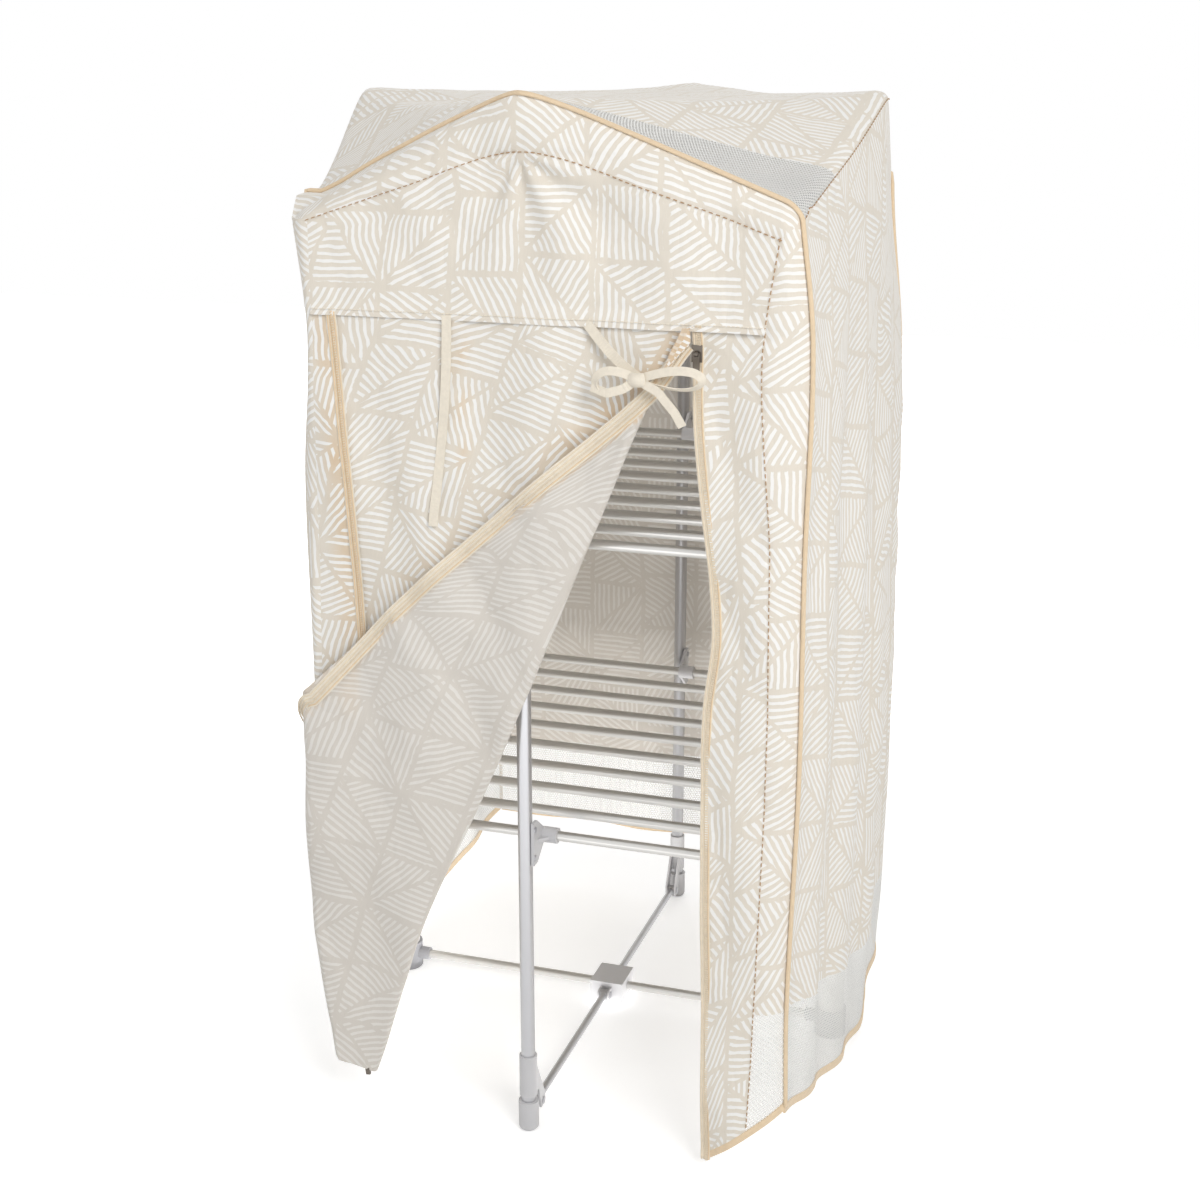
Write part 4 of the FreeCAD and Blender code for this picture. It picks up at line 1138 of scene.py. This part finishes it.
class AIRER_OT_flap(bpy.types.Operator):
    """Front flap, unzipped at the right and folded back over itself"""

    bl_idname = "airer.flap"
    bl_label = "Flap"

    def execute(self, context):
        @functools.cache
        def row(z):
            return self.row(z, context.scene.airer_cover.fold_radius)

        def place(u, v):
            z = lerp(FLAP_LOW_Z, SEAM_Z - 0.001, v)
            path = row(z)
            x, y = path[round(u * (len(path) - 1))]
            hem = FLAP_HEM_RISE * (1.0 - v) * (1.0 - min(1.0, (x + 0.30) / 0.10))
            return (x, y, z + hem)

        columns = len(row(SEAM_Z)) - 1
        # The flap's mesh carries the share of painted warm fold shade.
        cover_panel("flap_cloth", place, (columns, 190), ["front_flap"],
                    painted_shade=painted_fold_shade_share)
        return {"FINISHED"}

    def row(self, z, radius):
        """Path of the cloth at one height: (x, y) points from the left edge, round the fold and back."""
        left = x_at(LEFT_SEAM, z)
        fold = max(x_at(FOLD_LINE, z), left + 0.03)
        free = x_at(FLAP_EDGE, z) if z < FLAP_EDGE[0][1] else fold
        bend = fold - radius
        stop = max(min(free, fold - 0.004), wrap_x(z))
        points = [(x, front_y(x, z)) for x in (lerp(left, bend, t) for t in shares(30))]
        base = points[-1][1] - radius
        for t in shares(8, 1)[:-1]:
            points.append((bend + radius * math.sin(math.pi * t), base + radius * math.cos(math.pi * t)))
        points += [(x, turned_y(x, z)) for x in (lerp(bend, stop, t) for t in shares(40))]
        points += [wrapped(z, wrap_length(z) * t) for t in shares(12, 1)]
        return points


class AIRER_OT_walls(bpy.types.Operator):
    """Left, right and rear panels with their net skirts"""

    bl_idname = "airer.walls"
    bl_label = "Walls and skirt"

    def execute(self, context):
        self.wall("right", functools.partial(side_point, 1), side_hem, side_net,
                  functools.partial(side_top, 1), ["mesh_skirt"])
        self.wall("left", functools.partial(side_point, -1), side_hem, side_net,
                  functools.partial(side_top, -1), flip=True)
        self.wall("rear", rear_place, lambda u: side_hem(REAR_SHARE), lambda u: side_net(REAR_SHARE),
                  lambda u: ROOF_Z - (ROOF_Z - CORNER_Z) * droop(abs(2.0 * u - 1.0)))
        return {"FINISHED"}

    def wall(self, word, point, hem, change, top, skirt=(), flip=False):
        """Printed wall from the change to its top, and the net skirt from the hem to the change."""
        def place(u, v):
            return point(u, lerp(change(u), top(u), v))

        def net_place(u, v):
            return point(u, lerp(hem(u), change(u) + NET_OVERLAP, v))

        cover_panel(word + "_wall_cloth", place, (80, 110), ["cover_" + word], flip=flip)
        cover_panel(word + "_skirt_net", net_place, (80, 20), skirt, net=True,
                    flip=flip)


class AIRER_OT_piping(bpy.types.Operator):
    """Piping on the front and rear edges, hem bindings and seam stitches"""

    bl_idname = "airer.piping"
    bl_label = "Piping and stitches"

    def execute(self, context):
        cover = context.scene.airer_cover
        section = round_section(cover.piping_radius, cover.piping_radius, 10)
        sweep("front_piping", self.front_edge(cover), section, binding_cloth())
        sweep("rear_piping", self.rear_edge(cover), section, binding_cloth())
        self.hems(cover)
        self.stitches(cover)
        return {"FINISHED"}

    def front_edge(self, cover):
        """From the left hem up the left wall, over the roof's front and down the right edge."""
        share = (cover.left_piping_y - cover.edge_y) / (cover.rear_y - cover.edge_y)
        line = []
        for t in shares(60)[:-1]:
            x, y, z = side_point(-1, share, lerp(side_hem(share), side_top(-1, share), t))
            line.append((x - PIPING_OUT, y, z))
        for t in shares(60)[:-1]:
            x, y, z = roof_place(t - 1.0, lerp(-1.0, -cover.left_piping_y / cover.edge_y, 1.0 - t))
            line.append((x, y, z + ROOF_PIPING_UP))
        for t in shares(60):
            s = math.sin(0.5 * math.pi * t)
            x, y, z = roof_place(s, -1.0)
            turn = rise(s, 0.96, 1.0)
            line.append((x + PIPING_OUT * turn, y - PIPING_OUT, z + PIPING_OUT * (1.0 - turn)))
        corner = side_top(1, 0.0) - 0.004
        down = smooth_line(RIGHT_EDGE, lambda x, z: cover.edge_y - PIPING_OUT, 80)
        line.extend((x + PIPING_OUT, y, z) for x, y, z in down if z < corner)
        return line

    def rear_edge(self, cover):
        """From the right hem up the rear corner, over the rear of the roof and down again."""
        line = []
        for t in shares(60)[:-1]:
            z = lerp(side_hem(1.0), side_top(1, 1.0), t)
            line.append((rear_corner(z) + PIPING_OUT, cover.rear_y + PIPING_OUT, z))
        corner_count = len(line)
        for t in shares(80):
            x, y, z = roof_place(1.0 - 2.0 * t, 1.0)
            line.append((x, y + REAR_PIPING_OUT, z - REAR_PIPING_OUT))
        line.extend((-x, y, z) for x, y, z in reversed(line[:corner_count]))
        return line

    def hems(self, cover):
        """Binding along the lower edges of the walls, the strip and the right band."""
        tape = flat_section(cover.hem_thickness, cover.hem_height)
        for side, word in ((1, "right"), (-1, "left")):
            points = [side_point(side, t, side_hem(t) + HEM_UP) for t in shares(80)]
            upright_tape("hem_" + word, points, tape, binding_cloth())
        points = [rear_place(t, side_hem(REAR_SHARE) + HEM_UP) for t in shares(60)]
        upright_tape("hem_rear", points, tape, binding_cloth())
        points = []
        for t in shares(30):
            z = lerp(HEM_AT_ZIP, HEM_AT_SEAM, t) + FRONT_HEM_UP
            x = lerp(x_at(ZIP_LINE, z), x_at(RIGHT_SEAM, z), t)
            points.append((x, front_y(x, z), z))
        for t in shares(12, 1):
            z = lerp(HEM_AT_SEAM, HEM_AT_EDGE, t) + FRONT_HEM_UP
            x = lerp(x_at(RIGHT_SEAM, z), x_at(RIGHT_EDGE, z), t)
            points.append((x, band_y(t, x, z, cover.edge_y), z))
        upright_tape("hem_front", points, tape, binding_cloth())

    def stitches(self, cover):
        """Thread along the seams of the front, the valance's hem and the right edge of the roof."""
        seam = (cover.stitch, cover.stitch, cover.stitch_pitch * 0.55)
        for name, line, axis in (("gable_stitches", GABLE_SEAM, 0), ("right_stitches", RIGHT_SEAM, 1)):
            points = smooth_line(line, lambda x, z: front_y(x, z) - THREAD_OUT, 160, axis)
            points = [p for p in points if p[2] > HEM_AT_SEAM + 0.012]
            row_along(name, points, cover.stitch_pitch, seam, seam_thread())
        points = []
        for t in shares(160):
            x = lerp(x_at(LEFT_SEAM, SEAM_Z) + 0.004, x_at(RIGHT_SEAM, SEAM_Z) - 0.004, t)
            points.append((x, front_y(x, SEAM_Z + 0.004) - VALANCE_THREAD_OUT, SEAM_Z + 0.002))
        hem = (cover.hem_stitch, cover.hem_stitch, 4.0 * cover.hem_stitch)
        row_along("valance_stitches", points, cover.hem_stitch_pitch, hem, ribbon_cloth())
        points = []
        for t in shares(80):
            x, y, z = side_point(1, 0.5 * t, side_top(1, 0.5 * t))
            points.append((x + ROOF_THREAD_OUT, y, z + ROOF_THREAD_OUT))
        row_along("roof_stitches", points, cover.stitch_pitch, seam, seam_thread())


class AIRER_OT_zips(bpy.types.Operator):
    """Zip tapes, teeth, slider and pull"""

    bl_idname = "airer.zips"
    bl_label = "Zips"

    def execute(self, context):
        cover = context.scene.airer_cover
        for name, line, count, ridge in (("right_zip", ZIP_LINE, 160, tape_cloth()),
                                         ("left_zip", LEFT_ZIP, 90, binding_cloth())):
            points = smooth_line(line, lambda x, z: front_y(x, z) - ZIP_OUT, count)
            self.zip(name, points, cover, cover.tape_width, ridge)
        self.zip("flap_zip", self.free_edge(cover), cover, cover.facing_width, tape_cloth())
        for node in ("zip_slider", "zip_pull"):
            dress(node, zip_metal())
        self.flap_end(cover)
        return {"FINISHED"}

    def free_edge(self, cover):
        """Points just inside the turned-back edge of the flap, from the slider to the left corner."""
        corner_z, end_z = FLAP_EDGE[-2][1], FLAP_EDGE[-1][1]
        points = []
        for t in shares(120):
            z = lerp(SLIDER_HIGH[2], corner_z, t)
            x = x_at(FLAP_EDGE, z)
            y = turned_y(min(x, x_at(FOLD_LINE, z) - cover.fold_radius), z) - FLAP_ZIP_OUT
            away = rise(t, 0.0, 0.12)
            points.append((x - 0.002 + 0.008 * away, lerp(SLIDER_LOW[1] + 0.004, y, away), z - 0.006 * away))
        for t in shares(40, 1):
            z = lerp(corner_z, end_z, t)
            x, y = wrapped(z, wrap_length(z))
            turn = rise(t, 0.0, 0.3)
            points.append((x - FLAP_ZIP_OUT * turn, y - FLAP_ZIP_OUT * (1.0 - turn), z - 0.006))
        return points

    def zip(self, name, points, cover, width, ridge):
        """Tape with ridges along its edges and a row of teeth."""
        sweep(name + "_tape", points, flat_section(width, cover.tape_thickness), ribbon_cloth())
        section = round_section(cover.ridge_radius, cover.ridge_radius, 6)
        ridges = (("_ridge_1", -0.36, ridge), ("_ridge_2", -0.12, ridge), ("_ridge_3", 0.36, binding_cloth()))
        for word, share, material in ridges:
            sweep(name + word, beside(points, share * width, RIDGE_OUT), section, material)
        row_along(name + "_teeth", beside(points, 0.12 * width, TOOTH_OUT), cover.tooth_pitch, TOOTH, ridge)

    def flap_end(self, cover):
        """Small metal stop at the lower end of the flap's fold."""
        x, z = FOLD_LINE[-1]
        y = front_y(x, z) - cover.fold_radius
        points = [(x - 0.004, y - 0.006, z + 0.034), (x - 0.004, y - 0.007, z + 0.028),
                  (x - 0.003, y - 0.007, z + 0.020)]
        sweep("flap_zip_stop", points, flat_section(0.0060, 0.0040), zip_metal())


class AIRER_OT_ties(bpy.types.Operator):
    """Hanging ribbon and the ribbon tied in a bow"""

    bl_idname = "airer.ties"
    bl_label = "Ties"

    def execute(self, context):
        cover = context.scene.airer_cover
        points = []
        for t in shares(30):
            x = lerp(TIE_TOP_X, TIE_LOW_X, t) + 0.004 * math.sin(5.0 * t)
            z = lerp(SEAM_Z, TIE_LOW_Z, t)
            points.append((x, front_y(x, z) - TIE_OUT - 0.003 * math.sin(7.0 * t), z))
        self.ribbon("hanging_tie", points, cover.ribbon_width, "tie_ribbon")
        self.bow(cover)
        return {"FINISHED"}

    def ribbon(self, name, points, width, node=None):
        obj = sweep(name, points, flat_section(width, sizes().ribbon), ribbon_cloth())
        if node:
            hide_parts(node)

    def bow(self, cover):
        """Strap from the seam to the knot, two loops, two tails and the knot itself."""
        y = cover.front_y - BOW_OUT
        knot = Vector((KNOT[0], y, KNOT[1]))
        drawn_width = cover.ribbon_width * 0.88
        points = []
        for t in shares(24):
            depth = lerp(front_y(BOW_TOP_X, SEAM_Z) - 0.003, y + 0.006, t)
            points.append((lerp(BOW_TOP_X, knot.x, t), depth,
                           lerp(SEAM_Z, knot.z, t) - 0.006 * math.sin(math.pi * t)))
        self.ribbon("bow_strap", points, cover.ribbon_width, "tie_bow")
        for word, (tip, height) in BOW_LOOPS.items():
            far = Vector((tip[0], y - 0.004, tip[1]))
            points = []
            for t in shares(48):
                a = 2.0 * math.pi * t
                centre = knot.lerp(far, 0.5 - 0.5 * math.cos(a))
                points.append((centre.x, centre.y - 0.004 * math.sin(a),
                               centre.z + height * math.sin(a) * math.sin(a / 2)))
            self.ribbon("bow_loop_" + word, points, drawn_width)
        for word, line in BOW_TAILS.items():
            points = []
            for t in shares(20):
                x, z = along(line, t)
                points.append((x, y - 0.003 - 0.004 * math.sin(math.pi * t), z))
            self.ribbon("bow_tail_" + word, points, drawn_width)
        turns = [(knot.x + across, y - out, knot.z)
                 for across, out in ((-0.007, 0.002), (-0.003, 0.005), (0.003, 0.005), (0.007, 0.002))]
        sweep("bow_knot", turns, round_section(0.0085, 0.006, 12), ribbon_cloth())


class AIRER_OT_frame(bpy.types.Operator):
    """Finishes of the posts, tubes, bars, plastics and controls"""

    bl_idname = "airer.frame_finish"
    bl_label = "Frame finishes"

    def execute(self, context):
        colours = context.scene.airer_finish
        wings = [end + "_" + tier for end in ENDS for tier in TIERS]
        legs = [end + "_leg" for end in ENDS]

        def each(starts, *words):
            return [start + "_" + word for start in starts for word in words]

        finishes = (
            (coated("Post enamel", colours.enamel, 0.42), ["left_post", "right_post"]),
            (coated("Grey plastic", colours.grey, 0.5, depth=0.0001),
             ["left_foot", "right_foot", "hinge_brackets", "post_caps"] + each(wings, "arms")),
            (coated("Pale plastic", colours.pale, 0.46, depth=0.0001),
             ["control_box", "base_hub"] + each(legs, "foot", "sleeve", "brackets")),
            (drawn_metal("Silver upright", colours.silver, 0.34, "z"), each(legs, "tube")),
            (drawn_metal("Silver bars", colours.bars, 0.30, "x"),
             ["base_rail", "top_rail"] + each(wings, "bars")),
            (drawn_metal("Silver stays", colours.silver, 0.34, "y"), each(ENDS, "stay")),
            (coated("Pin steel", colours.steel, 0.32, 0.9),
             ["base_pins", "hinge_pins"] + each(legs, "rivets", "pin")),
            (coated("Element core", colours.core, 0.6), each(wings, "elements")),
            (coated("Black plastic", colours.black, 0.4), ["power_rocker", "cable_gland", "thermal_cutout"]),
            (coated("Amber lens", colours.amber, 0.15), ["pilot_lens"]),
        )
        for material, nodes in finishes:
            for node in nodes:
                dress(node, material)
        return {"FINISHED"}


class AIRER_OT_stage(bpy.types.Operator):
    """Floor, soft light and the camera at the photo's angle"""

    bl_idname = "airer.stage"
    bl_label = "Stage"

    def execute(self, context):
        scene = context.scene
        setup = scene.airer_stage
        half = setup.floor_size / 2.0
        floor = new_object("floor", [(-half, -half, 0), (half, -half, 0), (half, half, 0), (-half, half, 0)],
                           [(0, 1, 2, 3)], [self.floor_paint()])
        self.camera(scene, setup)
        self.world(scene)
        self.lamps(scene)
        scene.view_settings.view_transform = "Standard"
        return {"FINISHED"}

    def floor_paint(self):
        """White floor that fades into the background away from the object's shadow."""
        material, g, shader = base_material("Floor")
        shader["Base Color"].default_value = (0.80, 0.80, 0.80, 1.0)
        shader["Roughness"].default_value = 0.9
        shader["Specular IOR Level"].default_value = 0.1
        shader["Emission Color"].default_value = (1.0, 1.0, 1.0, 1.0)
        far = g.step(g.vector("LENGTH", g.coordinates("Object")), FLOOR_FADE_FROM, FLOOR_FADE_TO)
        g.plug(shader["Emission Strength"], g.math("MULTIPLY", g.seen(), g.math("ADD", FLOOR_GLOW, far)))
        return material

    def aim(self, obj, ahead):
        obj.rotation_euler = ahead.to_track_quat("-Z", "Y").to_euler()

    def camera(self, scene, setup):
        data = bpy.data.cameras.new("camera")
        data.sensor_width = SENSOR
        data.lens = SENSOR * setup.focal_pixels / PHOTO_PIXELS
        camera = bpy.data.objects.new("camera", data)
        scene.collection.objects.link(camera)
        camera.location = setup.eye
        fall = math.cos(setup.pitch)
        self.aim(camera, Vector((math.sin(setup.yaw) * fall, math.cos(setup.yaw) * fall,
                                 -math.sin(setup.pitch))))
        scene.camera = camera

    def world(self, scene):
        """Even light, and plain white where it is seen."""
        scene.world = bpy.data.worlds.new("studio")
        scene.world.use_nodes = True
        g = Graph(scene.world.node_tree)
        background = g.tree.nodes["Background"].inputs
        background["Color"].default_value = (1.0, 1.0, 1.0, 1.0)
        rest = g.math("MULTIPLY", g.seen(), 1.0 - WORLD_LIGHT)
        g.plug(background["Strength"], g.math("ADD", WORLD_LIGHT, rest))

    def lamps(self, scene):
        """Three soft lamps round the object, and two weak ones for the light inside the cover."""
        for name, place, target, size, power in LAMPS:
            lamp = bpy.data.lights.new(name, "AREA")
            lamp.energy = power
            lamp.size = size
            obj = bpy.data.objects.new(name, lamp)
            scene.collection.objects.link(obj)
            obj.location = place
            self.aim(obj, Vector(target) - Vector(place))
            obj.visible_camera = False
            obj.visible_glossy = name in MIRRORED_LAMPS


class AIRER_PT_panel(bpy.types.Panel):
    """Airer tools in the sidebar"""

    bl_idname = "AIRER_PT_panel"
    bl_label = "Airer"
    bl_space_type = "VIEW_3D"
    bl_region_type = "UI"
    bl_category = "Airer"

    def draw(self, context):
        for operator in OPERATORS:
            self.layout.operator(operator.bl_idname)
        for group in GROUPS:
            settings = getattr(context.scene, group)
            for key in settings.__annotations__:
                self.layout.prop(settings, key)


GROUPS = {"airer_cover": AirerCover, "airer_finish": AirerFinish, "airer_stage": AirerStage}
OPERATORS = (AIRER_OT_stage, AIRER_OT_frame, AIRER_OT_roof, AIRER_OT_front, AIRER_OT_flap, AIRER_OT_walls,
             AIRER_OT_piping, AIRER_OT_zips, AIRER_OT_ties)
CLASSES = (*GROUPS.values(), *OPERATORS, AIRER_PT_panel)


def register():
    for item in CLASSES:
        bpy.utils.register_class(item)
    for name, group in GROUPS.items():
        setattr(bpy.types.Scene, name, PointerProperty(type=group))


def unregister():
    for name in GROUPS:
        delattr(bpy.types.Scene, name)
    for item in reversed(CLASSES):
        bpy.utils.unregister_class(item)


def main():
    register()
    bpy.ops.airer.stage()
    bpy.ops.airer.frame_finish()
    bpy.ops.airer.roof()
    bpy.ops.airer.front()
    bpy.ops.airer.flap()
    bpy.ops.airer.walls()
    bpy.ops.airer.piping()
    bpy.ops.airer.zips()
    bpy.ops.airer.ties()
    bpy.context.view_layer.update()


if __name__ == "__main__":
    main()
